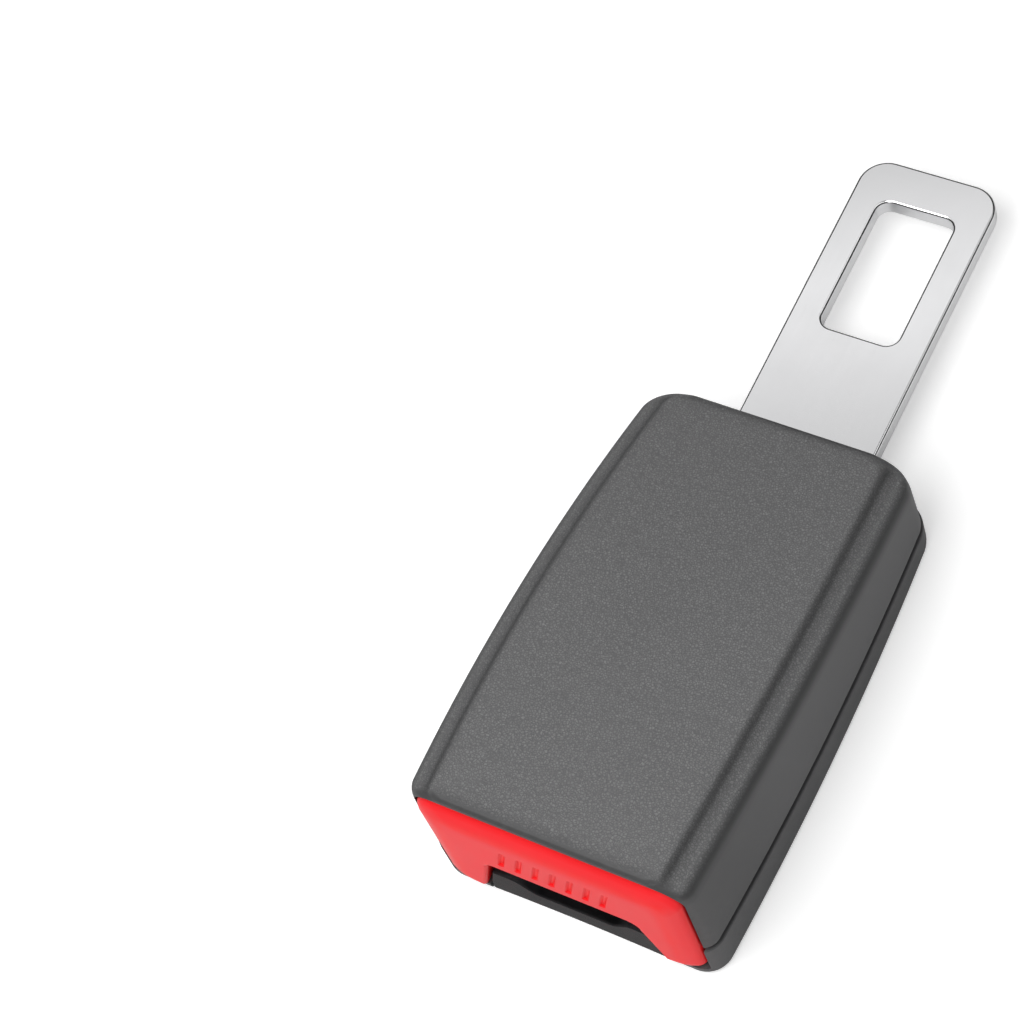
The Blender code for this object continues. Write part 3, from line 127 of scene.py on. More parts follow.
class Bench:
    """The modelling operators, each called with only its own piece selected."""

    @staticmethod
    def clear() -> None:
        """Deselect everything, and leave nothing in edit mode."""
        if bpy.context.object is not None and bpy.context.object.mode != "OBJECT":
            bpy.ops.object.mode_set(mode="OBJECT")
        bpy.ops.object.select_all(action="DESELECT")

    @staticmethod
    def take(piece: Piece) -> None:
        """Select one piece alone and make it the active one.

        Args:
            piece: The object to work on.
        """
        Bench.clear()
        piece.select_set(True)
        bpy.context.view_layer.objects.active = piece

    @staticmethod
    def lay(piece: Piece, ring: Sequence[Point]) -> None:
        """Lay the selected points of a piece in edit mode on a ring, by their order.

        Args:
            piece: The piece in edit mode.
            ring: One place for each point round the loop.
        """
        mesh = bmesh.from_edit_mesh(piece.data)
        order = mesh.verts.layers.int["order"]
        for vert in mesh.verts:
            if vert.select:
                vert.co = ring[vert[order]]
        bmesh.update_edit_mesh(piece.data)

    @staticmethod
    def loft(
        name: str, rings: Sequence[Sequence[Point]], start: Cap = Cap.FLAT, end: Cap = Cap.FLAT
    ) -> Piece:
        """Shape a circle into the first ring, extrude it from ring to ring and close both ends.

        Args:
            name: The new piece's name.
            rings: The rings in order, all with equally many points.
            start: How the first ring is closed.
            end: How the last ring is closed.

        Returns:
            The closed piece, its faces pointing outwards.
        """
        Bench.clear()
        count = len(rings[0])
        bpy.ops.mesh.primitive_circle_add(vertices=count, radius=MM, fill_type="NOTHING")
        piece = bpy.context.object
        piece.name = name
        bpy.ops.object.mode_set(mode="EDIT")
        bpy.ops.mesh.select_mode(type="EDGE")
        bpy.ops.mesh.select_all(action="SELECT")
        mesh = bmesh.from_edit_mesh(piece.data)
        order = mesh.verts.layers.int.new("order")
        for index, vert in enumerate(mesh.verts):
            vert[order] = index
        Bench.lay(piece, rings[0])
        Bench.close(piece, start, count)
        for ring in rings[1:]:
            bpy.ops.mesh.extrude_edges_indiv()
            Bench.lay(piece, ring)
        Bench.close(piece, end, count)
        bpy.ops.mesh.select_all(action="SELECT")
        bpy.ops.mesh.normals_make_consistent(inside=False)
        if bmesh.from_edit_mesh(piece.data).calc_volume(signed=True) < 0:
            bpy.ops.mesh.flip_normals()
        bpy.ops.object.mode_set(mode="OBJECT")
        return piece

    @staticmethod
    def close(piece: Piece, cap: Cap, count: int) -> None:
        """Close the selected loop, and leave its edges selected.

        Args:
            piece: The piece in edit mode, with one loop selected.
            cap: One face, or strips between the loop's two halves.
            count: The number of points round the loop.
        """
        mesh = bmesh.from_edit_mesh(piece.data)
        order = mesh.verts.layers.int["order"]
        loop = [edge for edge in mesh.edges if edge.select]
        keep = [edge.index for edge in loop]
        if cap is Cap.LADDER:
            half = count // 2
            rails = [edge for edge in loop if len({vert[order] < half for vert in edge.verts}) == 1]
            for edge in loop:
                edge.select_set(False)
            for edge in rails:
                edge.select_set(True)
            bmesh.update_edit_mesh(piece.data)
            bpy.ops.mesh.bridge_edge_loops()
        else:
            bpy.ops.mesh.edge_face_add()
        mesh = bmesh.from_edit_mesh(piece.data)
        mesh.edges.ensure_lookup_table()
        bpy.ops.mesh.select_all(action="DESELECT")
        for index in keep:
            mesh.edges[index].select_set(True)
        bmesh.update_edit_mesh(piece.data)

    @staticmethod
    def prism(name: str, outline: Sequence[Flat], low: float, high: float, axis: Axis) -> Piece:
        """Extrude a closed outline along an axis.

        Args:
            name: The new piece's name.
            outline: Points as (y, z) across, or (x, z) lengthways.
            low: Where the outline starts on the axis.
            high: Where it ends.
            axis: ACROSS or LENGTHWAYS.

        Returns:
            The closed prism.
        """
        if axis is Axis.ACROSS:
            return Bench.loft(name, [[(w, u, v) for u, v in outline] for w in (low, high)])
        return Bench.loft(name, [[(u, w, v) for u, v in outline] for w in (low, high)])

    @staticmethod
    def box(name: str, low: Point, high: Point) -> Piece:
        """Add a cube and fit it between two corners, as a cutter or a start.

        Args:
            name: The new piece's name.
            low: The corner with the smallest coordinates.
            high: The corner with the largest coordinates.

        Returns:
            The box, with its place and size in its mesh.
        """
        Bench.clear()
        middle = [(a + b) / 2 for a, b in zip(low, high)]
        bpy.ops.mesh.primitive_cube_add(size=1.0, location=middle)
        piece = bpy.context.object
        piece.name = name
        piece.scale = [b - a for a, b in zip(low, high)]
        bpy.ops.object.transform_apply(location=True, rotation=True, scale=True)
        return piece

    @staticmethod
    def rod(name: str, radius: float, start: Point, end: Point) -> Piece:
        """Add a cylinder between two points.

        Args:
            name: The new piece's name.
            radius: Its radius.
            start: The middle of its first end.
            end: The middle of its other end.

        Returns:
            The cylinder, with its place and turn in its mesh.
        """
        Bench.clear()
        along = Vector(end) - Vector(start)
        middle = (Vector(start) + Vector(end)) / 2
        bpy.ops.mesh.primitive_cylinder_add(
            vertices=ROD_SIDES, radius=radius, depth=along.length, location=middle
        )
        piece = bpy.context.object
        piece.name = name
        piece.rotation_euler = along.to_track_quat("Z", "Y").to_euler()
        bpy.ops.object.transform_apply(location=True, rotation=True, scale=True)
        return piece

    @staticmethod
    def turn(name: str, profile: Sequence[Flat], steps: int) -> Piece:
        """Turn a profile about the Z axis.

        Args:
            name: The new piece's name.
            profile: (radius, height) pairs from one end to the other.
            steps: The number of points round each ring.

        Returns:
            The closed turned piece.
        """
        angles = [2 * math.pi * index / steps for index in range(steps)]
        rings = [[(r * math.cos(angle), r * math.sin(angle), z) for angle in angles] for r, z in profile]
        return Bench.loft(name, rings)

    @staticmethod
    def combine(target: Piece, operation: Operation, *tools: Piece) -> None:
        """Add tool bodies to a piece or cut them from it, and remove the tools.

        Args:
            target: The piece that stays.
            operation: ADD, CUT or KEEP.
            tools: The bodies that are used up.
        """
        for tool in tools:
            Bench.take(target)
            bpy.ops.object.modifier_add(type="BOOLEAN")
            modifier = target.modifiers[-1]
            modifier.operation = operation.value
            modifier.solver = "EXACT"
            modifier.object = tool
            bpy.ops.object.modifier_apply(modifier=modifier.name)
            bpy.data.objects.remove(tool, do_unlink=True)

    @staticmethod
    def round_where(piece: Piece, wanted: Callable[[Edge], bool], width: float) -> None:
        """Round the edges that a test picks by their place or angle.

        Args:
            piece: The piece to work on.
            wanted: The test of an edge.
            width: How far the rounding reaches to each side.
        """
        Bench.take(piece)
        bpy.ops.object.mode_set(mode="EDIT")
        bpy.ops.mesh.select_mode(type="EDGE")
        bpy.ops.mesh.select_all(action="SELECT")
        bpy.ops.mesh.remove_doubles(threshold=WELD)
        bpy.ops.mesh.select_all(action="DESELECT")
        mesh = bmesh.from_edit_mesh(piece.data)
        mesh.normal_update()
        chosen = [edge for edge in mesh.edges if wanted(edge)]
        for edge in chosen:
            edge.select_set(True)
        bmesh.update_edit_mesh(piece.data)
        if chosen:
            bpy.ops.mesh.bevel(offset=width, segments=3, profile=0.5, affect="EDGES", clamp_overlap=False)
        bpy.ops.object.mode_set(mode="OBJECT")

    @staticmethod
    def smooth(piece: Piece, angle: float = 32.0) -> None:
        """Shade a piece smooth up to an angle, with normals weighted by the size of its faces.

        Args:
            piece: The piece to shade.
            angle: The sharpest edge in degrees that still looks round.
        """
        Bench.take(piece)
        bpy.ops.object.shade_smooth_by_angle(angle=math.radians(angle))
        bpy.ops.object.modifier_add(type="WEIGHTED_NORMAL")
        modifier = piece.modifiers[-1]
        modifier.keep_sharp = True
        bpy.ops.object.modifier_apply(modifier=modifier.name)


def sharp(edge: Edge, angle: float) -> bool:
    """Whether an edge between two faces is sharper than an angle in degrees."""
    return len(edge.link_faces) == 2 and edge.calc_face_angle() > math.radians(angle)


def arc(centre: Flat, radius: float, start: float, end: float, steps: int = 8) -> list[Flat]:
    """Return the points of a round corner, both ends included.

    Args:
        centre: The middle of the corner.
        radius: Its radius.
        start: The first angle in degrees.
        end: The last angle in degrees.
        steps: The number of stretches.

    Returns:
        The points in order.
    """
    points = []
    for index in range(steps + 1):
        angle = math.radians(start + (end - start) * index / steps)
        points.append((centre[0] + radius * math.cos(angle), centre[1] + radius * math.sin(angle)))
    return points


def rounded_rectangle(
    left: float, right: float, low: float, high: float, radius: float, steps: int = 8
) -> list[Flat]:
    """Return a rectangle's outline with round corners.

    Args:
        left: The smallest first coordinate.
        right: The largest first coordinate.
        low: The smallest second coordinate.
        high: The largest second coordinate.
        radius: The corners' radius.
        steps: The number of stretches in each corner.

    Returns:
        The points in order.
    """
    return (
        arc((right - radius, high - radius), radius, 0, 90, steps)
        + arc((left + radius, high - radius), radius, 90, 180, steps)
        + arc((left + radius, low + radius), radius, 180, 270, steps)
        + arc((right - radius, low + radius), radius, 270, 360, steps)
    )


def soften(points: Sequence[Flat], trims: Sequence[float], steps: int = 5) -> list[Flat]:
    """Round the inner corners of a polyline with short curves.

    Args:
        points: The corners, ends included.
        trims: How far each inner corner's curve reaches to both sides.
        steps: The number of stretches in each curve.

    Returns:
        The softened line.
    """
    line = [points[0]]
    for before, corner, after, trim in zip(points, points[1:], points[2:], trims):
        corner_at = Vector(corner)
        start = corner_at + (Vector(before) - corner_at).normalized() * trim
        end = corner_at + (Vector(after) - corner_at).normalized() * trim
        for index in range(steps + 1):
            share = index / steps
            point = start * (1 - share) ** 2 + corner_at * 2 * share * (1 - share) + end * share ** 2
            line.append((point.x, point.y))
    line.append(points[-1])
    return line


def quarter(radius: float, steps: int = 6) -> list[Flat]:
    """Return a quarter round as (inset, rise) pairs, from the flat face to the upright wall.

    Args:
        radius: The radius of the edge.
        steps: The number of stretches.

    Returns:
        The pairs in order.
    """
    angles = [math.pi / 2 * index / steps for index in range(steps + 1)]
    return [(radius * (1 - math.sin(angle)), radius * (1 - math.cos(angle))) for angle in angles]


def flare(edge: float) -> list[Flat]:
    """Return how a cutter widens towards a face, so that it leaves a rounded rim there.

    Args:
        edge: The radius of the rim.

    Returns:
        (wider, depth) pairs, from the straight part out through the face.
    """
    angles = [math.radians(angle) for angle in range(0, 90, 15)]
    steps = [(edge * (1 - math.cos(angle)), edge * (1 - math.sin(angle))) for angle in angles]
    steps.append((steps[-1][0] + edge, steps[-1][1] - edge / math.tan(angles[-1])))
    return steps


def hump(distance: float, spread: float) -> float:
    """Return a soft bump of height 1 that falls off over a spread."""
    return math.exp(-(distance / spread) ** 2)


def ramp(value: float, low: float, high: float) -> float:
    """Return 0 below low, 1 above high and a smooth step between them."""
    share = min(max((value - low) / (high - low), 0.0), 1.0)
    return share * share * (3 - 2 * share)


def mark(piece: Piece, name: str, value: Callable[[Vector], float]) -> None:
    """Write a value at each point of a piece, for its material to read.

    Args:
        piece: The finished piece.
        name: The attribute's name.
        value: The value at a place.
    """
    layer = piece.data.attributes.new(name, "FLOAT", "POINT")
    for index, vert in enumerate(piece.data.vertices):
        layer.data[index].value = value(vert.co)


def present(piece: Piece, body: str, replaced: Sequence[str], material: Material) -> None:
    """Dress a finished piece, hang it on its body and hide the solids it stands for.

    Args:
        piece: The finished piece.
        body: The body it moves with.
        replaced: The names of the solids it stands for.
        material: Its material.
    """
    piece.data.materials.clear()
    piece.data.materials.append(material)
    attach(piece, body)
    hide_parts(*replaced)
    log.info("%s: %d faces, rides on %s", piece.name, len(piece.data.polygons), body)


class Nodes:
    """A node tree with short calls for adding, setting and joining its nodes."""

    def __init__(self, tree: Tree) -> None:
        """Keep the tree."""
        self.tree = tree

    def add(self, kind: str, **settings: object) -> Node:
        """Add a node and set its properties.

        Args:
            kind: The node's Blender type.
            settings: Properties by name.

        Returns:
            The new node.
        """
        node = self.tree.nodes.new(kind)
        for name, value in settings.items():
            setattr(node, name, value)
        return node

    def join(self, source: Socket, target: Socket) -> None:
        """Join an output to an input."""
        self.tree.links.new(source, target)

    def feed(self, target: Socket, value: object) -> None:
        """Join an output to an input, or set a plain value on it."""
        if isinstance(value, Socket):
            self.join(value, target)
        else:
            target.default_value = value

    def wire(self, node: Node, inputs: dict[str, object]) -> None:
        """Feed several inputs of a node by name, each a socket or a plain value."""
        for name, value in inputs.items():
            self.feed(node.inputs[name], value)

    def math(self, operation: str, *values: object, clamp: bool = False) -> Socket:
        """Return the result of a math node.

        Args:
            operation: The node's operation.
            values: Its inputs, as sockets or numbers.
            clamp: Whether the result is kept between 0 and 1.

        Returns:
            The result's socket.
        """
        node = self.add("ShaderNodeMath", operation=operation, use_clamp=clamp)
        for index, value in enumerate(values):
            self.feed(node.inputs[index], value)
        return node.outputs[0]

    def mix(self, share: object, first: object, second: object) -> Socket:
        """Return a mix of two colours.

        Args:
            share: How much of the second colour.
            first: The first colour, as a socket or four numbers.
            second: The second colour.

        Returns:
            The result's socket.
        """
        node = self.add("ShaderNodeMix", data_type="RGBA")
        colour_sockets = (0, 6, 7)
        for index, value in zip(colour_sockets, (share, first, second)):
            self.feed(node.inputs[index], value)
        return node.outputs[2]

    def band(self, value: object, low: float, high: float, start: float = 0.0, end: float = 1.0) -> Socket:
        """Return a value mapped smoothly from one range to another.

        Args:
            value: The value to map.
            low: The start of its range.
            high: The end of its range.
            start: The result at low.
            end: The result at high.

        Returns:
            The result's socket.
        """
        node = self.add("ShaderNodeMapRange", interpolation_type="SMOOTHSTEP")
        for index, number in enumerate((value, low, high, start, end)):
            self.feed(node.inputs[index], number)
        return node.outputs[0]

    def noise(self, place: object, scale: object, detail: float = 2.0, roughness: float = 0.5) -> Socket:
        """Return the value of a noise texture.

        Args:
            place: The coordinates.
            scale: Features for each metre.
            detail: Octaves.
            roughness: How strong the finer octaves are.

        Returns:
            The value's socket.
        """
        node = self.add("ShaderNodeTexNoise")
        self.wire(node, {"Vector": place, "Scale": scale, "Detail": detail, "Roughness": roughness})
        return node.outputs["Fac"]

    def times(self, first: object, second: object) -> Socket:
        """Return the product of two values."""
        return self.math("MULTIPLY", first, second)

    def place(self, stretch: Point = (1.0, 1.0, 1.0)) -> Socket:
        """Return the object coordinates, stretched for a pattern that runs one way."""
        coordinates = self.add("ShaderNodeTexCoord")
        mapping = self.add("ShaderNodeMapping")
        self.wire(mapping, {"Scale": stretch, "Vector": coordinates.outputs["Object"]})
        return mapping.outputs["Vector"]


def opaque(colour: Colour, share: float = 1.0) -> tuple[float, float, float, float]:
    """Return a colour with its brightness scaled and full alpha."""
    return (*(channel * share for channel in colour), 1.0)


def new_material(name: str) -> tuple[Material, Nodes, Node]:
    """Return a new material, its nodes and its Principled BSDF."""
    material = bpy.data.materials.new(name)
    material.use_nodes = True
    return material, Nodes(material.node_tree), material.node_tree.nodes["Principled BSDF"]


class Effects:
    """The shader groups that several finishes share, each built once."""

    made: dict[str, Tree] = {}

    @classmethod
    def open(
        cls, name: str, takes: dict[str, float | str], gives: dict[str, str]
    ) -> tuple[Nodes, Node, Node]:
        """Start a group with named sockets.

        Args:
            name: The group's name.
            takes: Inputs by name, with a default number, or "vector" or "colour".
            gives: Outputs by name, each "value" or "colour".

        Returns:
            The group's nodes, its input node and its output node.
        """
        kinds = {"vector": "NodeSocketVector", "colour": "NodeSocketColor", "value": "NodeSocketFloat"}
        tree = bpy.data.node_groups.new(name, "ShaderNodeTree")
        for label, default in takes.items():
            kind = kinds[default] if isinstance(default, str) else kinds["value"]
            socket = tree.interface.new_socket(label, in_out="INPUT", socket_type=kind)
            if not isinstance(default, str):
                socket.default_value = default
        for label, kind in gives.items():
            tree.interface.new_socket(label, in_out="OUTPUT", socket_type=kinds[kind])
        nodes = Nodes(tree)
        cls.made[name] = tree
        return nodes, nodes.add("NodeGroupInput"), nodes.add("NodeGroupOutput")

    @classmethod
    def leather(cls) -> Tree:
        """Return the fine leather grain of moulded plastic: pebbles between thin valleys."""
        if "leather_grain" in cls.made:
            return cls.made["leather_grain"]
        takes = {"Place": "vector", "Scale": 1300.0, "Valley": 0.22}
        nodes, given, out = cls.open("leather_grain", takes, {"Height": "value", "Valleys": "value"})
        place, scale = given.outputs["Place"], given.outputs["Scale"]
        bend = nodes.add("ShaderNodeTexNoise")
        nodes.wire(bend, {"Vector": place, "Scale": nodes.times(scale, 0.8), "Detail": 2.0})
        shift = nodes.add("ShaderNodeVectorMath", operation="SCALE")
        nodes.join(bend.outputs["Color"], shift.inputs[0])
        nodes.join(nodes.math("DIVIDE", 0.55, scale), shift.inputs["Scale"])
        moved = nodes.add("ShaderNodeVectorMath", operation="ADD")
        nodes.join(place, moved.inputs[0])
        nodes.join(shift.outputs[0], moved.inputs[1])
        cells = nodes.add("ShaderNodeTexVoronoi", feature="DISTANCE_TO_EDGE")
        nodes.wire(cells, {"Vector": moved.outputs[0], "Scale": scale})
        pebble = nodes.band(cells.outputs["Distance"], 0.0, given.outputs["Valley"])
        swell = nodes.noise(place, nodes.times(scale, 0.9), detail=4.0, roughness=0.7)
        height = nodes.math("ADD", nodes.times(pebble, 0.3), nodes.times(swell, 1.1))
        nodes.wire(out, {"Height": height, "Valleys": nodes.math("SUBTRACT", 1.0, pebble)})
        return nodes.tree

    @classmethod
    def drift(cls) -> Tree:
        """Return a slow change of tone and gloss, as moulding flow and handling leave."""
        if "tone_drift" in cls.made:
            return cls.made["tone_drift"]
        takes = {"Place": "vector", "Colour": "colour", "Scale": 60.0, "Depth": 0.08}
        nodes, given, out = cls.open("tone_drift", takes, {"Colour": "colour", "Value": "value"})
        cloud = nodes.noise(given.outputs["Place"], given.outputs["Scale"], detail=3.0, roughness=0.55)
        centred = nodes.math("SUBTRACT", cloud, 0.5)
        swing = nodes.times(centred, nodes.times(given.outputs["Depth"], 2.0))
        scaled = nodes.add("ShaderNodeVectorMath", operation="SCALE")
        nodes.join(given.outputs["Colour"], scaled.inputs[0])
        nodes.join(nodes.math("ADD", swing, 1.0), scaled.inputs["Scale"])
        nodes.wire(out, {"Colour": scaled.outputs[0], "Value": centred})
        return nodes.tree

    @classmethod
    def wear(cls) -> Tree:
        """Return where an edge is rubbed: the mesh's convex edges, broken up by fine noise."""
        if "edge_wear" in cls.made:
            return cls.made["edge_wear"]
        takes = {"Place": "vector", "Reach": 0.06, "Breakup": 900.0}
        nodes, given, out = cls.open("edge_wear", takes, {"Mask": "value"})
        geometry = nodes.add("ShaderNodeNewGeometry")
        raised = nodes.math("SUBTRACT", geometry.outputs["Pointiness"], 0.5)
        edge = nodes.math("DIVIDE", raised, given.outputs["Reach"], clamp=True)
        patches = nodes.noise(given.outputs["Place"], given.outputs["Breakup"], detail=4.0, roughness=0.7)
        broken = nodes.band(patches, 0.35, 0.65)
        nodes.join(nodes.times(edge, broken), out.inputs["Mask"])
        return nodes.tree

    @classmethod
    def brush(cls) -> Tree:
        """Return fine straight lines, as rolling, drawing or brushing leaves in metal."""
        if "brush_lines" in cls.made:
            return cls.made["brush_lines"]
        takes = {"Place": "vector", "Scale": 900.0}
        nodes, given, out = cls.open("brush_lines", takes, {"Height": "value"})
        place, scale = given.outputs["Place"], given.outputs["Scale"]
        coarse = nodes.noise(place, scale, detail=4.0, roughness=0.65)
        fine = nodes.noise(place, nodes.times(scale, 3.0), detail=2.0, roughness=0.6)
        total = nodes.math("ADD", nodes.times(coarse, 0.6), nodes.times(fine, 0.4))
        nodes.join(total, out.inputs["Height"])
        return nodes.tree


@dataclass(frozen=True)
class Finish:
    """What all finishes have: a name, a colour and a gloss."""

    name: str
    colour: Colour
    roughness: float

    @staticmethod
    def effect(nodes: Nodes, tree: Tree, **inputs: object) -> Node:
        """Place a shared effect with this finish's own values.

        Args:
            nodes: The material's nodes.
            tree: The shared group.
            inputs: Values or sockets by input name.

        Returns:
            The group node.
        """
        node = nodes.add("ShaderNodeGroup", node_tree=tree)
        nodes.wire(node, inputs)
        return node

    @staticmethod
    def attribute(nodes: Nodes, name: str) -> Socket:
        """Return what a piece was marked with."""
        return nodes.add("ShaderNodeAttribute", attribute_name=name).outputs["Fac"]

    @staticmethod
    def bump(nodes: Nodes, height: object, depth: float, strength: float) -> Socket:
        """Return the normal of a height, whose value of 1 stands for a depth in metres."""
        node = nodes.add("ShaderNodeBump")
        nodes.wire(node, {"Distance": depth, "Strength": strength, "Height": height})
        return node.outputs["Normal"]


@dataclass(frozen=True)
class GrainedPlastic(Finish):
    """Moulded plastic with leather grain where the piece says so, and satin elsewhere; shade is painted
    darker in the grain's valleys and the marked creases, and highlights lighter on the grain's peaks.
    """

    side_colour: Colour = (0.090, 0.090, 0.092)
    # Painted shade in the grain's valleys and painted highlight on its peaks use the next two colours.
    valley_shade_colour: Colour = (0.03, 0.03, 0.031)
    peak_highlight_colour: Colour = (0.29, 0.29, 0.29)
    # Painted shade: the colour the marked creases darken towards.
    painted_shade_colour: Colour = (0.016, 0.016, 0.017)
    worn_colour: Colour = (0.26, 0.26, 0.26)
    valley_shade_share: float = 0.24
    peak_highlight_share: float = 0.48
    peak_heights: Flat = (0.72, 1.05)
    painted_shade_share: float = 0.88
    worn_share: float = 0.12
    gloss_swing: float = 0.12
    grain_dulling: float = 0.10
    grain_scale: float = 2500.0
    grain_depth: float = 0.110 * MM
    pore_scale: float = 5200.0
    pore_share: float = 0.10
    specular: float = 0.36

    def make(self) -> Material:
        """Return the material. It reads the attribute grain, and the attribute that marks where shade is
        painted darker.
        """
        material, nodes, shader = new_material(self.name)
        place = nodes.place()
        grain = self.attribute(nodes, "grain")
        leather = self.effect(nodes, Effects.leather(), Place=place, Scale=self.grain_scale)
        pores = nodes.noise(place, self.pore_scale, detail=3.0, roughness=0.6)
        tone = nodes.mix(grain, opaque(self.side_colour), opaque(self.colour))
        drift = self.effect(nodes, Effects.drift(), Place=place, Colour=tone, Scale=45.0, Depth=0.05)
        # Painted shade in the grain's valleys and painted highlight on its peaks.
        valley_shade = nodes.times(leather.outputs["Valleys"], nodes.times(grain, self.valley_shade_share))
        tone = nodes.mix(valley_shade, drift.outputs["Colour"], opaque(self.valley_shade_colour))
        peak_highlight = nodes.times(
            nodes.band(leather.outputs["Height"], *self.peak_heights), nodes.times(grain, self.peak_highlight_share)
        )
        tone = nodes.mix(peak_highlight, tone, opaque(self.peak_highlight_colour))
        # Painted shade: the marked creases darken towards the crease colour.
        crease = nodes.times(self.attribute(nodes, "crease"), self.painted_shade_share)
        tone = nodes.mix(crease, tone, opaque(self.painted_shade_colour))
        wear = self.effect(nodes, Effects.wear(), Place=place, Reach=0.10)
        worn = nodes.times(wear.outputs["Mask"], self.worn_share)
        gloss = nodes.math("ADD", nodes.times(drift.outputs["Value"], self.gloss_swing), self.roughness)
        height = nodes.math(
            "ADD", nodes.times(leather.outputs["Height"], grain), nodes.times(pores, self.pore_share)
        )
        nodes.wire(shader, {
            "Base Color": nodes.mix(worn, tone, opaque(self.worn_colour)),
            "Roughness": nodes.math("ADD", gloss, nodes.times(grain, self.grain_dulling)),
            "Specular IOR Level": self.specular,
            "Normal": self.bump(nodes, height, self.grain_depth, strength=0.75),
        })
        return material


@dataclass(frozen=True)
class MouldedPlastic(Finish):
    """Plain moulded plastic: satin or glossy, with slight flow marks, rubbed edges, and shade painted into
    its colour where a piece marks it.
    """

    texture_scale: float = 2600.0
    texture_depth: float = 0.012 * MM
    specular: float = 0.5
    worn_colour: Colour = (0.25, 0.25, 0.25)
    worn_share: float = 0.15
    # Painted shade and missing sheen: the colour that marked bands are painted in.
    shaded_band_colour: Colour | None = None
    # Painted shade: how strongly marked creases darken, and how dark they go.
    painted_shade_share: float = 0.9
    painted_shade_tone: float = 0.22
    gloss_swing: float = 0.14

    def make(self) -> Material:
        """Return the material. It reads the attributes that mark painted shade and painted bands, where a
        piece has them.
        """
        material, nodes, shader = new_material(self.name)
        place = nodes.place()
        # Painted shade and missing sheen: marked bands get the band colour, on the button a deeper red.
        band = self.attribute(nodes, "band")
        tone = nodes.mix(band, opaque(self.colour), opaque(self.shaded_band_colour or self.colour))
        drift = self.effect(nodes, Effects.drift(), Place=place, Colour=tone, Scale=70.0, Depth=0.05)
        # Painted shade: marked creases darken towards a share of the colour.
        crease = nodes.times(self.attribute(nodes, "crease"), self.painted_shade_share)
        tone = nodes.mix(crease, drift.outputs["Colour"], opaque(self.colour, self.painted_shade_tone))
        wear = self.effect(nodes, Effects.wear(), Place=place, Reach=0.10)
        worn = nodes.times(wear.outputs["Mask"], self.worn_share)
        leather = self.effect(nodes, Effects.leather(), Place=place, Scale=self.texture_scale)
        nodes.wire(shader, {
            "Base Color": nodes.mix(worn, tone, opaque(self.worn_colour)),
            "Roughness": nodes.math(
                "ADD", nodes.times(drift.outputs["Value"], self.gloss_swing), self.roughness
            ),
            "Specular IOR Level": self.specular,
            "Normal": self.bump(nodes, leather.outputs["Height"], self.texture_depth, strength=0.6),
        })
        return material


@dataclass(frozen=True)
class Steel(Finish):
    """Plated steel with fine rolling lines along one axis."""

    stretch: Point = (1.0, 0.06, 1.0)
    line_scale: float = 1400.0
    line_depth: float = 0.004 * MM
    streak: float = 0.16
    drift_depth: float = 0.05
    gloss_swing: float = 0.10
    worn_colour: Colour = (0.95, 0.95, 0.95)
    worn_share: float = 0.2

    def make(self) -> Material:
        """Return the material."""
        material, nodes, shader = new_material(self.name)
        place = nodes.place()
        lines = self.effect(nodes, Effects.brush(), Place=nodes.place(self.stretch), Scale=self.line_scale)
        tone = opaque(self.colour)
        drift = self.effect(
            nodes, Effects.drift(), Place=place, Colour=tone, Scale=55.0, Depth=self.drift_depth
        )
        wear = self.effect(nodes, Effects.wear(), Place=place, Reach=0.12)
        worn = nodes.times(wear.outputs["Mask"], self.worn_share)
        streak = nodes.times(nodes.math("SUBTRACT", lines.outputs["Height"], 0.5), self.streak)
        cloud = nodes.times(drift.outputs["Value"], self.gloss_swing)
        nodes.wire(shader, {
            "Base Color": nodes.mix(worn, drift.outputs["Colour"], opaque(self.worn_colour)),
            "Metallic": 1.0,
            "Roughness": nodes.math("ADD", nodes.math("ADD", streak, cloud), self.roughness),
            "Normal": self.bump(nodes, lines.outputs["Height"], self.line_depth, strength=0.5),
        })
        return material


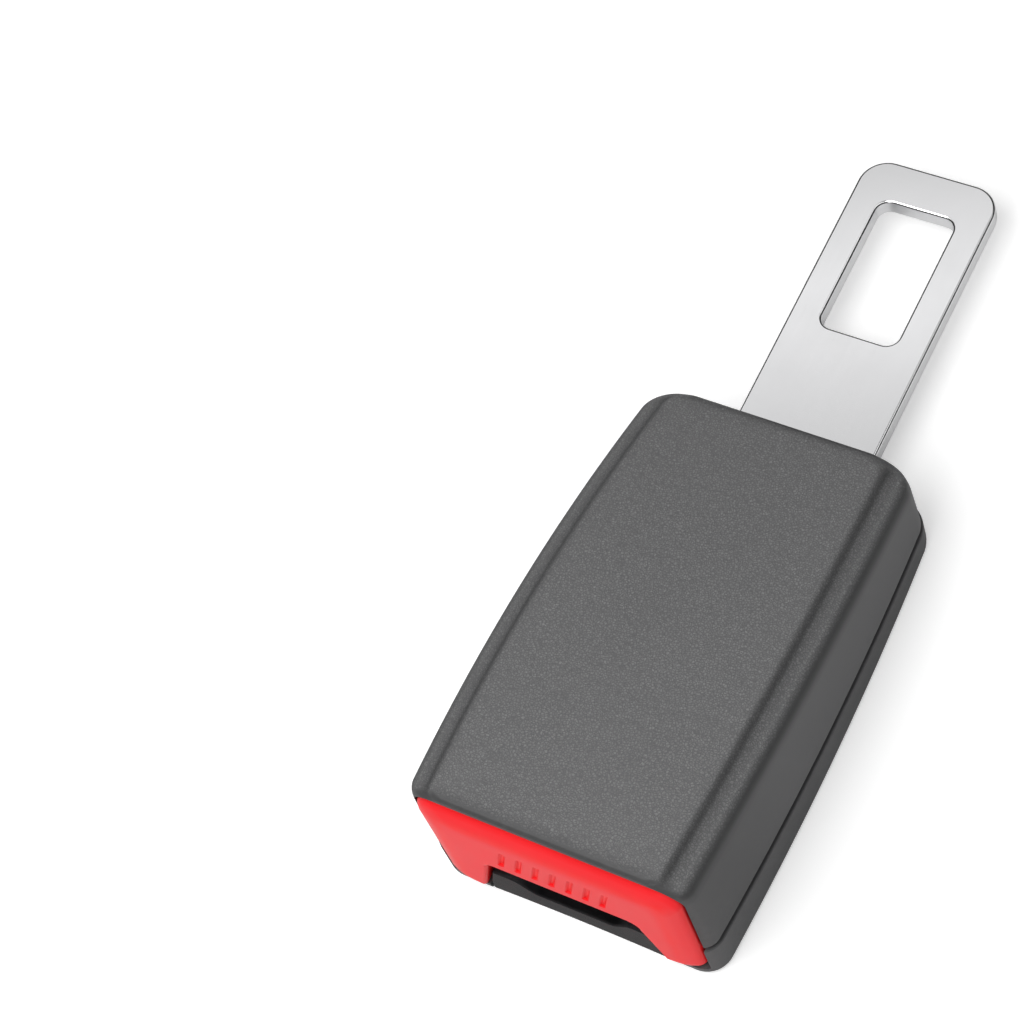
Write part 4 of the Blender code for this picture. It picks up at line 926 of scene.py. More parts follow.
@dataclass(frozen=True)
class HousingForm:
    """The housing's outside: its plan, its falling top and its parting line."""

    length: float = 75.3 * MM
    bow_radius: float = 568.0 * MM
    widest_from_front: float = 33.6 * MM
    half_width_max: float = HALF_WIDTH
    top_front: float = 29.2 * MM
    top_rear: float = 19.0 * MM
    crown: float = 1.9 * MM
    parting_front: float = 8.8 * MM
    parting_rear: float = 5.6 * MM
    groove_height: float = 0.9 * MM
    groove_depth: float = 0.9 * MM
    wall: float = 1.8 * MM
    rear_corner: float = 5.5 * MM
    smallest_corner: float = 0.6 * MM
    room_half: float = 20.456 * MM
    room_back: float = -53.1 * MM
    plate_half: float = 11.3 * MM
    plate_low: float = 4.4 * MM
    plate_high: float = 8.0 * MM
    side_steps: int = 44
    front_steps: int = 10
    rear_steps: int = 14

    @property
    def front(self) -> float:
        """Where the housing starts."""
        return FRONT

    @property
    def rear(self) -> float:
        """Where the housing ends."""
        return FRONT + self.length

    def half_width(self, y: float) -> float:
        """Return half the housing's width at a place along it."""
        offset = y - (self.front + self.widest_from_front)
        return self.half_width_max - offset * offset / (2 * self.bow_radius)

    def share(self, y: float) -> float:
        """Return how far along the housing a place lies, from 0 to 1."""
        return (y - self.front) / self.length

    def top(self, y: float) -> float:
        """Return the height of the top surface."""
        share = self.share(y)
        straight = self.top_front + (self.top_rear - self.top_front) * share
        return straight + self.crown * 4 * share * (1 - share)

    def parting(self, y: float) -> float:
        """Return the height of the line between the two casings."""
        return self.parting_front + (self.parting_rear - self.parting_front) * self.share(y)

    def below_top(self, drop: float) -> Height:
        """Return a height that follows the top surface at a distance."""
        return lambda y: self.top(y) - drop

    def off_parting(self, offset: float) -> Height:
        """Return a height that follows the parting line at a distance."""
        return lambda y: self.parting(y) + offset

    def plate_room(self, name: str, start: float) -> Piece:
        """Return the cutter for the tongue plate's way out through the rear wall."""
        end = self.rear + CUT_MARGIN
        return Bench.box(
            name, (-self.plate_half, start, self.plate_low), (self.plate_half, end, self.plate_high)
        )

    def ring(
        self, side: float, front: float, rear: float, front_corner: float, height: Height
    ) -> list[Point]:
        """Return one ring of the housing, its right half from front to rear and the left half back.

        Args:
            side: The distance inside the widest plan at the sides.
            front: The distance inside it at the front.
            rear: The distance inside it at the rear.
            front_corner: The radius of the front corners.
            height: The ring's height at a place along the housing.

        Returns:
            The ring's points.
        """
        rear_corner = max(self.rear_corner - rear, self.smallest_corner)
        y0 = self.front + front
        y1 = self.rear - rear
        front_x = self.half_width(y0 + front_corner) - side
        rear_x = self.half_width(y1 - rear_corner) - side
        half = arc((front_x - front_corner, y0 + front_corner), front_corner, -90, 0, self.front_steps)
        start, end = y0 + front_corner, y1 - rear_corner
        for index in range(1, self.side_steps):
            y = start + (end - start) * index / self.side_steps
            half.append((self.half_width(y) - side, y))
        half += arc((rear_x - rear_corner, y1 - rear_corner), rear_corner, 0, 90, self.rear_steps)
        mirrored = [(-x, y) for x, y in reversed(half)]
        return [(x, y, height(y)) for x, y in half + mirrored]


@dataclass
class Fasteners:
    """The four casing screws, which also place the casings' bosses and bores."""

    form: HousingForm
    front_x: float = 18.4 * MM
    rear_x: float = 16.35 * MM
    front_from_front: float = 15.2 * MM
    rear_from_rear: float = 7.1 * MM
    head_radius: float = 1.9 * MM
    head_height: float = 1.1 * MM
    head_recess: float = 0.5 * MM
    shank_radius: float = 0.9 * MM
    length: float = 13.0 * MM
    thread_pitch: float = 0.9 * MM
    thread_rise: float = 0.22 * MM
    boss_radius: float = 2.1 * MM
    face_share: float = 0.3
    crown_share: float = 0.75
    rim_share: float = 0.4
    point_share: float = 0.3
    root_start: float = 0.75
    root_share: float = 0.45
    crest_share: float = 0.62
    recess_reach: float = 0.55
    recess_slit: float = 0.16
    recess_depth: float = 0.6
    head_trims: Point = (0.1 * MM, 0.22 * MM, 0.08 * MM)

    def places(self) -> list[tuple[str, float, float]]:
        """Return each screw's name and plan position."""
        rows = (
            ("front", self.front_x, self.form.front + self.front_from_front),
            ("rear", self.rear_x, self.form.rear - self.rear_from_rear),
        )
        return [(f"{end}_{side.label}", side.value * x, y) for end, x, y in rows for side in Side]

    @property
    def tip(self) -> float:
        """Height of a screw's tip."""
        return self.head_recess + self.head_height + self.length

    def head_profile(self) -> list[Flat]:
        """Return the turned outline of a pan head, its thread's crests and its point."""
        low = self.head_recess
        high = low + self.head_height - SEAT_GAP
        corners = [
            (self.face_share * self.head_radius, low),
            (self.crown_share * self.head_radius, low),
            (self.head_radius, low + self.rim_share * self.head_height),
            (self.head_radius, high),
            (self.shank_radius, high),
        ]
        profile = soften(corners, self.head_trims, 4)
        core = self.shank_radius - self.thread_rise
        for index in range(int((self.tip - high) / self.thread_pitch) - 2):
            root = high + (index + self.root_start) * self.thread_pitch
            profile += [(core, root), (core, root + self.root_share * self.thread_pitch)]
            profile.append((self.shank_radius, root + self.crest_share * self.thread_pitch))
        profile.append((self.point_share * self.shank_radius, self.tip))
        return profile

    def build(self, material: Material) -> None:
        """Model one screw with a cross recess, and copy it to the four places."""
        head = Bench.turn("casing_screw", self.head_profile(), 32)
        reach = self.recess_reach * self.head_radius
        slit = self.recess_slit * self.head_radius
        depth = self.head_recess + self.recess_depth * self.head_height
        across = Bench.box("recess_across", (-reach, -slit, -CUT_MARGIN), (reach, slit, depth))
        along = Bench.box("recess_along", (-slit, -reach, -CUT_MARGIN), (slit, reach, depth))
        Bench.combine(head, Operation.CUT, across, along)
        Bench.smooth(head, 30.0)
        for name, x, y in self.places():
            Bench.take(head)
            bpy.ops.object.duplicate(linked=False)
            screw = bpy.context.object
            screw.name = f"screw_{name}"
            screw.location = (x, y, 0)
            bpy.ops.object.transform_apply(location=True, rotation=True, scale=True)
            present(screw, "housing", [f"casing_screw_{name}"], material)
        bpy.data.objects.remove(head, do_unlink=True)


@dataclass
class UpperShell:
    """The grained shell: a flat panel, a step, a sloping strip and a rolled shoulder."""

    form: HousingForm
    screws: Fasteners
    front_setback: float = 1.2 * MM
    rear_setback: float = 0.9 * MM
    side_setback: float = 0.15 * MM
    front_corner: float = 2.6 * MM
    front_edge: float = 0.9 * MM
    rear_edge: float = 1.6 * MM
    panel_inset: float = 4.8 * MM
    strip_inset: float = 3.9 * MM
    strip_drop: float = 0.85 * MM
    roll_inset: float = 1.7 * MM
    roll_drop: float = 1.9 * MM
    shoulder_inset: float = 0.93 * MM
    shoulder_drop: float = 2.65 * MM
    draft: float = 0.45 * MM
    side_drop: float = 4.2 * MM
    panel_flat: float = 1.4 * MM
    foot_share: float = 0.7
    foot_drop: float = 7.0 * MM
    shoulder_trims: tuple[float, ...] = (0.4 * MM, 0.42 * MM, 0.5 * MM, 0.35 * MM, 1.0 * MM)
    rim: tuple[Flat, ...] = (
        (0.0, 0.35 * MM), (0.04 * MM, 0.14 * MM), (0.14 * MM, 0.04 * MM), (0.35 * MM, 0.0)
    )
    opening_top: float = 27.15 * MM
    opening_corner: float = 3.55 * MM
    opening_round: float = 0.65 * MM
    grain_front: Flat = (0.5 * MM, 1.3 * MM)
    grain_rear: Flat = (0.2 * MM, 1.2 * MM)
    grain_side: Flat = (0.1 * MM, 0.4 * MM)
    # Painted shade: each dark band's strength, place and spread.
    step_shade: Point = (0.8, 0.2 * MM, 0.7 * MM)
    roll_shade: Point = (0.9, 0.3 * MM, 1.0 * MM)
    roll_limit: Flat = (1.6 * MM, 2.4 * MM)
    front_shade: Flat = (0.75, 1.2 * MM)
    rear_shade: Flat = (0.6, 1.5 * MM)
    cheek_shade: float = 0.45
    cheek_length: Flat = (6 * MM, 30 * MM)
    cheek_drop: Flat = (2.4 * MM, 3.4 * MM)
    spring_y: float = -22.05 * MM
    spring_peg_radius: float = 1.6 * MM
    spring_peg_length: float = 2.5 * MM
    pilot_radius: float = 1.2 * MM

    def ring(self, inset: float, front: float, rear: float, height: Height) -> list[Point]:
        """Return a ring of the upper casing with its own inset at each end."""
        corner = max(self.front_corner - front, self.form.smallest_corner)
        return self.form.ring(
            self.side_setback + inset, self.front_setback + front, self.rear_setback + rear, corner, height
        )

    @staticmethod
    def stand_back(drop: float, radius: float) -> float:
        """Return how far a rounded end stands back at a drop below the top."""
        if drop >= radius:
            return 0.0
        return radius - math.sqrt(radius * radius - (radius - drop) ** 2)

    def shoulder(self) -> list[Flat]:
        """Return the softened section from the panel down to the side wall, as (inset, drop)."""
        corners = [
            (self.panel_inset + self.panel_flat, 0.0),
            (self.panel_inset, 0.0),
            (self.strip_inset, self.strip_drop),
            (self.roll_inset, self.roll_drop),
            (self.shoulder_inset, self.shoulder_drop),
            (self.draft, self.side_drop),
            (self.foot_share * self.draft, self.foot_drop),
        ]
        return soften(corners, self.shoulder_trims)

    def outer_rings(self) -> list[list[Point]]:
        """Return the rings of the outside, from the panel down into the groove."""
        form = self.form
        rings = []
        for inset, drop in self.shoulder():
            behind = max(inset - self.panel_inset, 0.0)
            front = self.stand_back(drop, self.front_edge) + behind
            rear = self.stand_back(drop, self.rear_edge) + behind
            rings.append(self.ring(inset, front, rear, form.below_top(drop)))
        groove = form.groove_height / 2
        for inset, rise in self.rim:
            rings.append(self.ring(inset, inset, inset, form.off_parting(groove + rise)))
        depth = form.groove_depth
        rings.append(self.ring(depth, depth, depth, form.off_parting(groove)))
        return rings

    def inner_rings(self) -> list[list[Point]]:
        """Return the rings of the inside, from the parting face up to the ceiling."""
        form, wall, depth = self.form, self.form.wall, self.form.groove_depth
        foot = form.off_parting(SEAT_GAP / 2)
        return [
            self.ring(depth, depth, depth, foot),
            self.ring(wall, wall, wall, foot),
            self.ring(wall + self.draft, wall, wall, form.below_top(self.side_drop + wall)),
            self.ring(wall + self.roll_inset, wall, wall, form.below_top(self.roll_drop + wall)),
            self.ring(wall + self.panel_inset, 2 * wall, 2 * wall, form.below_top(wall)),
        ]

    def boss_top(self, x: float, y: float) -> float:
        """Return the height at which a boss ends inside the shell's shoulder."""
        back = y + self.screws.boss_radius
        inset = self.form.half_width(back) - self.side_setback - abs(x) - self.screws.boss_radius
        share = min(max((inset - self.roll_inset) / (self.strip_inset - self.roll_inset), 0.0), 1.0)
        drop = self.roll_drop + (self.strip_drop - self.roll_drop) * share
        return self.form.top(back) - drop - self.form.wall / 2

    def build(self, material: Material) -> None:
        """Model the shell, its bosses and openings, and mark where it is grained and where shade is painted
        on it.
        """
        form = self.form
        shell = Bench.loft("upper_shell", self.outer_rings() + self.inner_rings(), Cap.LADDER, Cap.LADDER)
        for name, x, y in self.screws.places():
            low, high = (x, y, form.parting(y) + SEAT_GAP), (x, y, self.boss_top(x, y))
            Bench.combine(
                shell, Operation.ADD, Bench.rod(f"boss_{name}", self.screws.boss_radius, low, high)
            )
        ceiling = form.top(self.spring_y) - form.wall
        peg_low = (0, self.spring_y, ceiling - self.spring_peg_length)
        peg_high = (0, self.spring_y, ceiling + form.wall / 2)
        Bench.combine(
            shell, Operation.ADD, Bench.rod("spring_peg", self.spring_peg_radius, peg_low, peg_high)
        )
        Bench.combine(shell, Operation.CUT, self.button_room())
        for name, x, y in self.screws.places():
            bore = Bench.rod(
                f"pilot_{name}", self.pilot_radius, (x, y, 0), (x, y, self.screws.tip + RUNNING_GAP)
            )
            Bench.combine(shell, Operation.CUT, bore)
        inside = form.rear - self.rear_setback - form.wall - CUT_MARGIN
        Bench.combine(shell, Operation.CUT, form.plate_room("plate_room", inside))
        Bench.smooth(shell)
        mark(shell, "grain", self.grain_at)
        # Painted shade: dark bands along the step, the roll, the ends and the front of the sides.
        mark(shell, "crease", self.painted_shade_at)
        present(shell, "housing", ["upper_casing"], material)

    def button_room(self) -> Piece:
        """Return the cutter for the button's room, flared where it opens to the front."""
        wall = self.form.front + self.front_setback
        steps = [(0.0, self.form.room_back)]
        steps += [(wider, wall + depth) for wider, depth in flare(self.opening_round)]
        steps.append((steps[-1][0], self.form.front - CUT_MARGIN))
        rings = []
        for wider, y in steps:
            half, top = self.form.room_half + wider, self.opening_top + wider
            line = rounded_rectangle(-half, half, -top, top, self.opening_corner + wider, 12)
            rings.append([(x, y, z) for x, z in line])
        return Bench.loft("button_room", rings)

    def grain_at(self, place: Vector) -> float:
        """Return 1 on the grained top and strip, and 0 on the smooth sides and rounded ends."""
        form = self.form
        drop = form.top(place.y) - place.z
        begins = ramp(place.y - form.front - self.front_setback, *self.grain_front)
        ends = ramp(form.rear - self.rear_setback - place.y, *self.grain_rear)
        start, end = self.grain_side
        return (1 - ramp(drop, self.roll_drop - start, self.shoulder_drop + end)) * begins * ends

    def painted_shade_at(self, place: Vector) -> float:
        """Return the painted shade: soft dark bands along the step, the roll and the ends, and at the front
        of the sides.
        """
        form = self.form
        inset = form.half_width(place.y) - self.side_setback - abs(place.x)
        drop = form.top(place.y) - place.z
        depth, past, spread = self.step_shade
        step = depth * hump(inset - self.strip_inset - past, spread)
        depth, past, spread = self.roll_shade
        roll = depth * hump(drop - self.shoulder_drop - past, spread) * (1 - ramp(inset, *self.roll_limit))
        depth, spread = self.front_shade
        front = depth * hump(place.y - form.front - self.front_setback, spread)
        depth, spread = self.rear_shade
        rear = depth * hump(place.y - form.rear + self.rear_setback, spread)
        ahead = 1 - ramp(place.y - form.front, *self.cheek_length)
        cheek = self.cheek_shade * ahead * ramp(drop, *self.cheek_drop)
        return min(max(step, roll, front, rear, cheek), 1.0)


@dataclass
class LowerTray:
    """The tray under the shell: a rounded underside, a rim and the groove above it."""

    form: HousingForm
    screws: Fasteners
    front_setback: float = 0.6 * MM
    front_corner: float = 3.8 * MM
    floor: float = 2.0 * MM
    floor_round: float = 1.2 * MM
    floor_flat: float = 1.5 * MM
    rim: tuple[Flat, ...] = (
        (0.0, 0.4 * MM), (0.03 * MM, 0.16 * MM), (0.12 * MM, 0.04 * MM), (0.32 * MM, 0.0)
    )
    notch_half: float = 13.8 * MM
    notch_back: float = 2.1 * MM
    rib_y: float = -8.25 * MM
    rib_near: float = 14.25 * MM
    rib_clear: float = 0.95 * MM
    rib_thickness: float = 2.0 * MM
    rib_top: float = 14.2 * MM
    rivet_pocket_radius: float = 3.4 * MM
    rivet_pocket_floor: float = 0.6 * MM
    bore_radius: float = 1.2 * MM

    def ring(self, inset: float, height: Height) -> list[Point]:
        """Return a ring of the tray, moved inwards by inset."""
        corner = max(self.front_corner - inset, self.form.smallest_corner)
        return self.form.ring(inset, self.front_setback + inset, inset, corner, height)

    def rings(self) -> list[list[Point]]:
        """Return the rings from the underside up the outside, over the rim and down inside."""
        form = self.form
        rings = [self.ring(self.floor_round + self.floor_flat, lambda y: 0.0)]
        for inset, rise in quarter(self.floor_round):
            rings.append(self.ring(inset, lambda y, rise=rise: rise))
        groove = -form.groove_height / 2
        for inset, fall in self.rim:
            rings.append(self.ring(inset, form.off_parting(groove - fall)))
        rings += [
            self.ring(form.groove_depth, form.off_parting(groove)),
            self.ring(form.groove_depth, form.off_parting(-SEAT_GAP / 2)),
            self.ring(form.wall, form.off_parting(-SEAT_GAP / 2)),
            self.ring(form.wall, lambda y: self.floor),
        ]
        return rings

    def build(self, material: Material) -> None:
        """Model the tray with its posts, ribs, bores and openings."""
        form = self.form
        tray = Bench.loft("lower_tray", self.rings())
        sink = self.floor / 2
        for name, x, y in self.screws.places():
            top = form.parting(y + self.screws.boss_radius) - SEAT_GAP
            post = Bench.rod(f"post_{name}", self.screws.boss_radius, (x, y, sink), (x, y, top))
            Bench.combine(tray, Operation.ADD, post)
        far = form.half_width(self.rib_y) - form.wall - self.rib_clear
        for side in Side:
            left, right = side.between(self.rib_near, far)
            low = (left, self.rib_y, sink)
            high = (right, self.rib_y + self.rib_thickness, self.rib_top)
            Bench.combine(tray, Operation.ADD, Bench.box(f"rib_{side.label}", low, high))
        before = form.front - CUT_MARGIN
        above = form.top_front
        room_high = (form.room_half, form.room_back, above)
        room = Bench.box("leg_room", (-form.room_half, before, self.floor), room_high)
        notch_high = (self.notch_half, form.front + self.notch_back, above)
        notch = Bench.box("lip_notch", (-self.notch_half, before, -CUT_MARGIN), notch_high)
        Bench.combine(tray, Operation.CUT, room, notch)
        for name, x, y in self.screws.places():
            seat = self.screws.head_recess + self.screws.head_height
            radius = self.screws.head_radius + SEAT_GAP
            head = Bench.rod(f"counterbore_{name}", radius, (x, y, -CUT_MARGIN), (x, y, seat))
            bore = Bench.rod(
                f"bore_{name}", self.bore_radius, (x, y, 0), (x, y, form.parting(y) + CUT_MARGIN)
            )
            Bench.combine(tray, Operation.CUT, head, bore)
        for side in Side:
            x = side.value * RIVET_X
            low, high = (x, RIVET_Y, self.rivet_pocket_floor), (x, RIVET_Y, form.plate_low)
            pocket = Bench.rod(f"rivet_pocket_{side.label}", self.rivet_pocket_radius, low, high)
            Bench.combine(tray, Operation.CUT, pocket)
        inside = form.rear - form.wall - 2 * CUT_MARGIN
        Bench.combine(tray, Operation.CUT, form.plate_room("tray_plate_room", inside))
        Bench.smooth(tray)
        present(tray, "housing", ["lower_casing"], material)


@dataclass
class PressButton:
    """The red button: a hollow cap with soft bands, a mouth, finger grooves and two arms."""

    front: float = FRONT
    half: float = 20.106 * MM
    top: float = 26.8 * MM
    bottom: float = 2.3 * MM
    corner: float = 3.2 * MM
    edge: float = 0.5 * MM
    band_width: float = 3.9 * MM
    band_height: float = 4.4 * MM
    band_setback: float = 1.1 * MM
    skirt: float = 4.8 * MM
    wall: float = 2.2 * MM
    mouth_top: float = 12.6 * MM
    mouth_top_half: float = 11.7 * MM
    mouth_bottom_half: float = 14.1 * MM
    mouth_corner: float = 1.6 * MM
    mouth_round: float = 0.7 * MM
    groove_count: int = 7
    groove_pitch: float = 2.6 * MM
    groove_width: float = 0.9 * MM
    groove_height: float = 5.4 * MM
    groove_slant: float = 1.5 * MM
    groove_depth: float = 0.35 * MM
    groove_low: float = 14.9 * MM
    arm_inner: float = 14.25 * MM
    arm_outer: float = 15.95 * MM
    arm_bottom: float = 9.0 * MM
    arm_neck_top: float = 15.5 * MM
    arm_end: float = -23.25 * MM
    arm_foot_top: float = 13.35 * MM
    ear_front: float = -30.05 * MM
    ramp_foot: float = 14.15 * MM
    ramp_run: float = 5.3 * MM
    ramp_crest: float = 2.0 * MM
    arm_toe: float = 0.6 * MM
    foot_thickness: float = 2.0 * MM
    foot_far: float = 19.55 * MM
    foot_inset: float = 0.2 * MM
    root_half: float = 1.5 * MM
    travel: float = 5.0 * MM
    latch_lift: float = 13.5
    latch_reach: float = 19.0 * MM
    latch_half: float = 1.0 * MM
    band_trims: tuple[float, ...] = (0.9 * MM, 0.8 * MM, 0.45 * MM, 0.3 * MM)
    band_end: float = 2.4 * MM
    band_start_share: float = 1.3
    band_middle: Flat = (0.5, 0.17)
    band_edge_share: float = 0.75
    low_corner_share: float = 3.2
    # Painted shade: where and how strongly deeper red is painted on the bands, the top edge and the
    # grooves.
    fold_share: float = 0.85
    fold_spread: float = 0.95 * MM
    brow_reach: Flat = (0.1 * MM, 0.6 * MM)
    brow_shade: float = 0.6
    groove_shade: float = 0.9
    groove_reach: Flat = (0.05 * MM, 0.2 * MM)
    flat_shares: Flat = (1.3, 1.4)
    # Painted shade where the button meets the casing's rim.
    rim_shade: float = 0.55
    rim_reach: Flat = (0.1 * MM, 1.0 * MM)
    groove_steps: tuple[Flat, ...] = (
        (-0.35 * MM, -0.10 * MM), (-0.08 * MM, 0.05 * MM), (0.05 * MM, 0.16 * MM)
    )
    groove_narrowing: float = 0.28 * MM

    @property
    def face_back(self) -> float:
        """Where the button's face ends and its hollow starts."""
        return self.front + self.band_setback + self.wall

    def ring(self, depth: float, share: float) -> list[Point]:
        """Return one outline of the block.

        Args:
            depth: The distance behind the front.
            share: How much of the soft bands lies outside this outline.

        Returns:
            The outline's points, in a plane of constant y.
        """
        half = self.half - share * self.band_width
        high = self.top - share * self.band_height
        low = self.bottom + min(share, 1.0) * self.edge
        corner = self.corner
        small = self.low_corner_share * self.edge
        points = (
            arc((half - corner, high - corner), corner, 0, 90, 10)
            + arc((-half + corner, high - corner), corner, 90, 180, 10)
            + arc((-half + small, low + small), small, 180, 270, 5)
            + arc((half - small, low + small), small, 270, 360, 5)
        )
        return [(x, self.front + depth, z) for x, z in points]

    def rings(self) -> list[list[Point]]:
        """Return the rings from the flat face over the soft bands to the end of the skirt."""
        band = self.band_setback
        inner = self.band_width
        corners = [
            (self.band_start_share * inner, 0.0),
            (inner, 0.0),
            (self.band_middle[0] * inner, self.band_middle[1] * band),
            (self.edge, self.band_edge_share * band),
            (0.0, band + self.edge),
            (0.0, self.band_end),
        ]
        line = soften(corners, self.band_trims, 6)
        rings = [self.ring(depth, inset / inner) for inset, depth in line]
        rings.append(self.ring(self.skirt, 0.0))
        return rings

    def mouth_ring(self, wider: float, y: float) -> list[Point]:
        """Return one ring of the mouth's cutter, from below the button up round its arch."""
        centre = (self.mouth_top_half - self.mouth_corner, self.mouth_top - self.mouth_corner)
        corner = self.mouth_corner + wider
        low = self.mouth_bottom_half + wider
        below = self.bottom - CUT_MARGIN
        outline = (
            [(low, below), (low, self.bottom)]
            + arc(centre, corner, 0, 90, 10)
            + arc((-centre[0], centre[1]), corner, 90, 180, 10)
            + [(-low, self.bottom), (-low, below)]
        )
        return [(x, y, z) for x, z in outline]

    def mouth_cutter(self) -> Piece:
        """Return the mouth's cutter, flared where it opens to the front."""
        behind = self.front + self.skirt + CUT_MARGIN
        rings = [self.mouth_ring(0.0, behind)]
        rings += [self.mouth_ring(wider, self.front + depth) for wider, depth in flare(self.mouth_round)]
        return Bench.loft("mouth_cut", rings)

    def ramp_slope(self) -> float:
        """Return the rise over run that lifts the latch by its full angle in a full press."""
        lift = math.radians(self.latch_lift)
        rise = self.latch_reach * math.sin(lift) + self.latch_half * (1 - math.cos(lift))
        slip = self.latch_reach * (1 - math.cos(lift)) - self.latch_half * math.sin(lift)
        return rise / (self.travel - slip)

    def arm_outline(self) -> list[Flat]:
        """Return an arm's outline in (y, z): neck, crest, ramp under the latch's ear, and tail."""
        crest = self.ramp_foot + self.ramp_run * self.ramp_slope()
        back = self.face_back - CUT_MARGIN
        start = self.ear_front - self.ramp_run
        return [
            (back, self.arm_bottom),
            (self.arm_end, self.arm_bottom),
            (self.arm_end, self.ramp_foot - self.arm_toe),
            (self.ear_front + self.arm_toe, self.ramp_foot - self.arm_toe),
            (start, crest),
            (start - self.ramp_crest, crest),
            (start - 2 * self.ramp_crest, self.arm_neck_top),
            (back, self.arm_neck_top),
        ]

    def add_arms(self, cap: Piece) -> None:
        """Add both arms with their spring feet and their roots in the face."""
        inset = self.foot_inset
        for side in Side:
            low, high = side.between(self.arm_inner, self.arm_outer)
            arm = Bench.prism(f"arm_{side.label}", self.arm_outline(), low, high, Axis.ACROSS)
            low, high = side.between(self.arm_inner + inset, self.foot_far)
            foot_low = (low, self.arm_end - self.foot_thickness, self.arm_bottom + inset)
            foot_high = (high, self.arm_end - inset / 2, self.arm_foot_top)
            foot = Bench.box(f"arm_foot_{side.label}", foot_low, foot_high)
            middle = side.value * (self.arm_inner + self.arm_outer) / 2
            root_low = (middle - self.root_half, self.face_back - inset, self.arm_bottom + inset)
            root_high = (
                middle + self.root_half, self.face_back + CUT_MARGIN, self.arm_neck_top + CUT_MARGIN
            )
            root = Bench.box(f"arm_root_{side.label}", root_low, root_high)
            Bench.combine(cap, Operation.ADD, arm, foot, root)

    def cut_grooves(self, cap: Piece) -> None:
        """Cut the slanted finger grooves, which narrow towards their bottom."""
        lean = self.groove_slant / self.groove_height
        middle = self.groove_height / 2
        for index in range(self.groove_count):
            centre = (index - (self.groove_count - 1) / 2) * self.groove_pitch
            rings = []
            for narrowing, depth in (*self.groove_steps, (self.groove_narrowing, self.groove_depth)):
                half = self.groove_width / 2 - narrowing
                bar = rounded_rectangle(
                    -half, half, narrowing, self.groove_height - narrowing, 0.8 * half, 4
                )
                slanted = [(centre + u + lean * (v - middle), v) for u, v in bar]
                rings.append([(x, self.front + depth, self.groove_low + v) for x, v in slanted])
            Bench.combine(cap, Operation.CUT, Bench.loft(f"finger_groove_{index + 1}", rings))

    def build(self, material: Material) -> None:
        """Model the button and mark where shade is painted on it: darker where it meets the rim, deeper red
        along its soft bands, top edge and grooves.
        """
        cap = Bench.loft("button_cap", self.rings())
        self.cut_grooves(cap)
        half = self.half - self.wall
        hollow = rounded_rectangle(
            -half, half, self.bottom + self.wall, self.top - self.wall, self.corner / 2
        )
        behind = self.front + self.skirt + CUT_MARGIN
        room = Bench.prism("button_hollow", hollow, self.face_back, behind, Axis.LENGTHWAYS)
        Bench.combine(cap, Operation.CUT, room)
        self.add_arms(cap)
        Bench.combine(cap, Operation.CUT, self.mouth_cutter())
        Bench.smooth(cap)
        # Painted shade where the button meets the casing's rim.
        mark(cap, "crease", self.painted_shade_at)
        # Deeper red painted along the soft bands, the top edge and the grooves, as painted shade and
        # missing sheen.
        mark(cap, "band", self.shaded_band_at)
        present(cap, "button", ["press_button"], material)

    def shaded_band_at(self, place: Vector) -> float:
        """Return how much deeper red is painted on: as painted shade and missing sheen along the soft
        bands, and as painted shade along the top edge and inside the grooves.
        """
        inset = min(self.top - place.z, self.half - abs(place.x))
        fold = hump(inset - self.fold_share * self.band_width, self.fold_spread)
        brow = self.brow_shade * (1 - ramp(inset, *self.brow_reach))
        on_face = ramp(inset / self.band_width, *self.flat_shares)
        groove = self.groove_shade * ramp(place.y - self.front, *self.groove_reach) * on_face
        return max(fold, brow, groove)

    def painted_shade_at(self, place: Vector) -> float:
        """Return the painted shade where the button meets the casing's rim."""
        depth = place.y - self.front
        edge = ramp(depth - self.band_setback, *self.rim_reach)
        return self.rim_shade * edge * (1 - ramp(depth, self.skirt, self.skirt + 1.0 * MM))


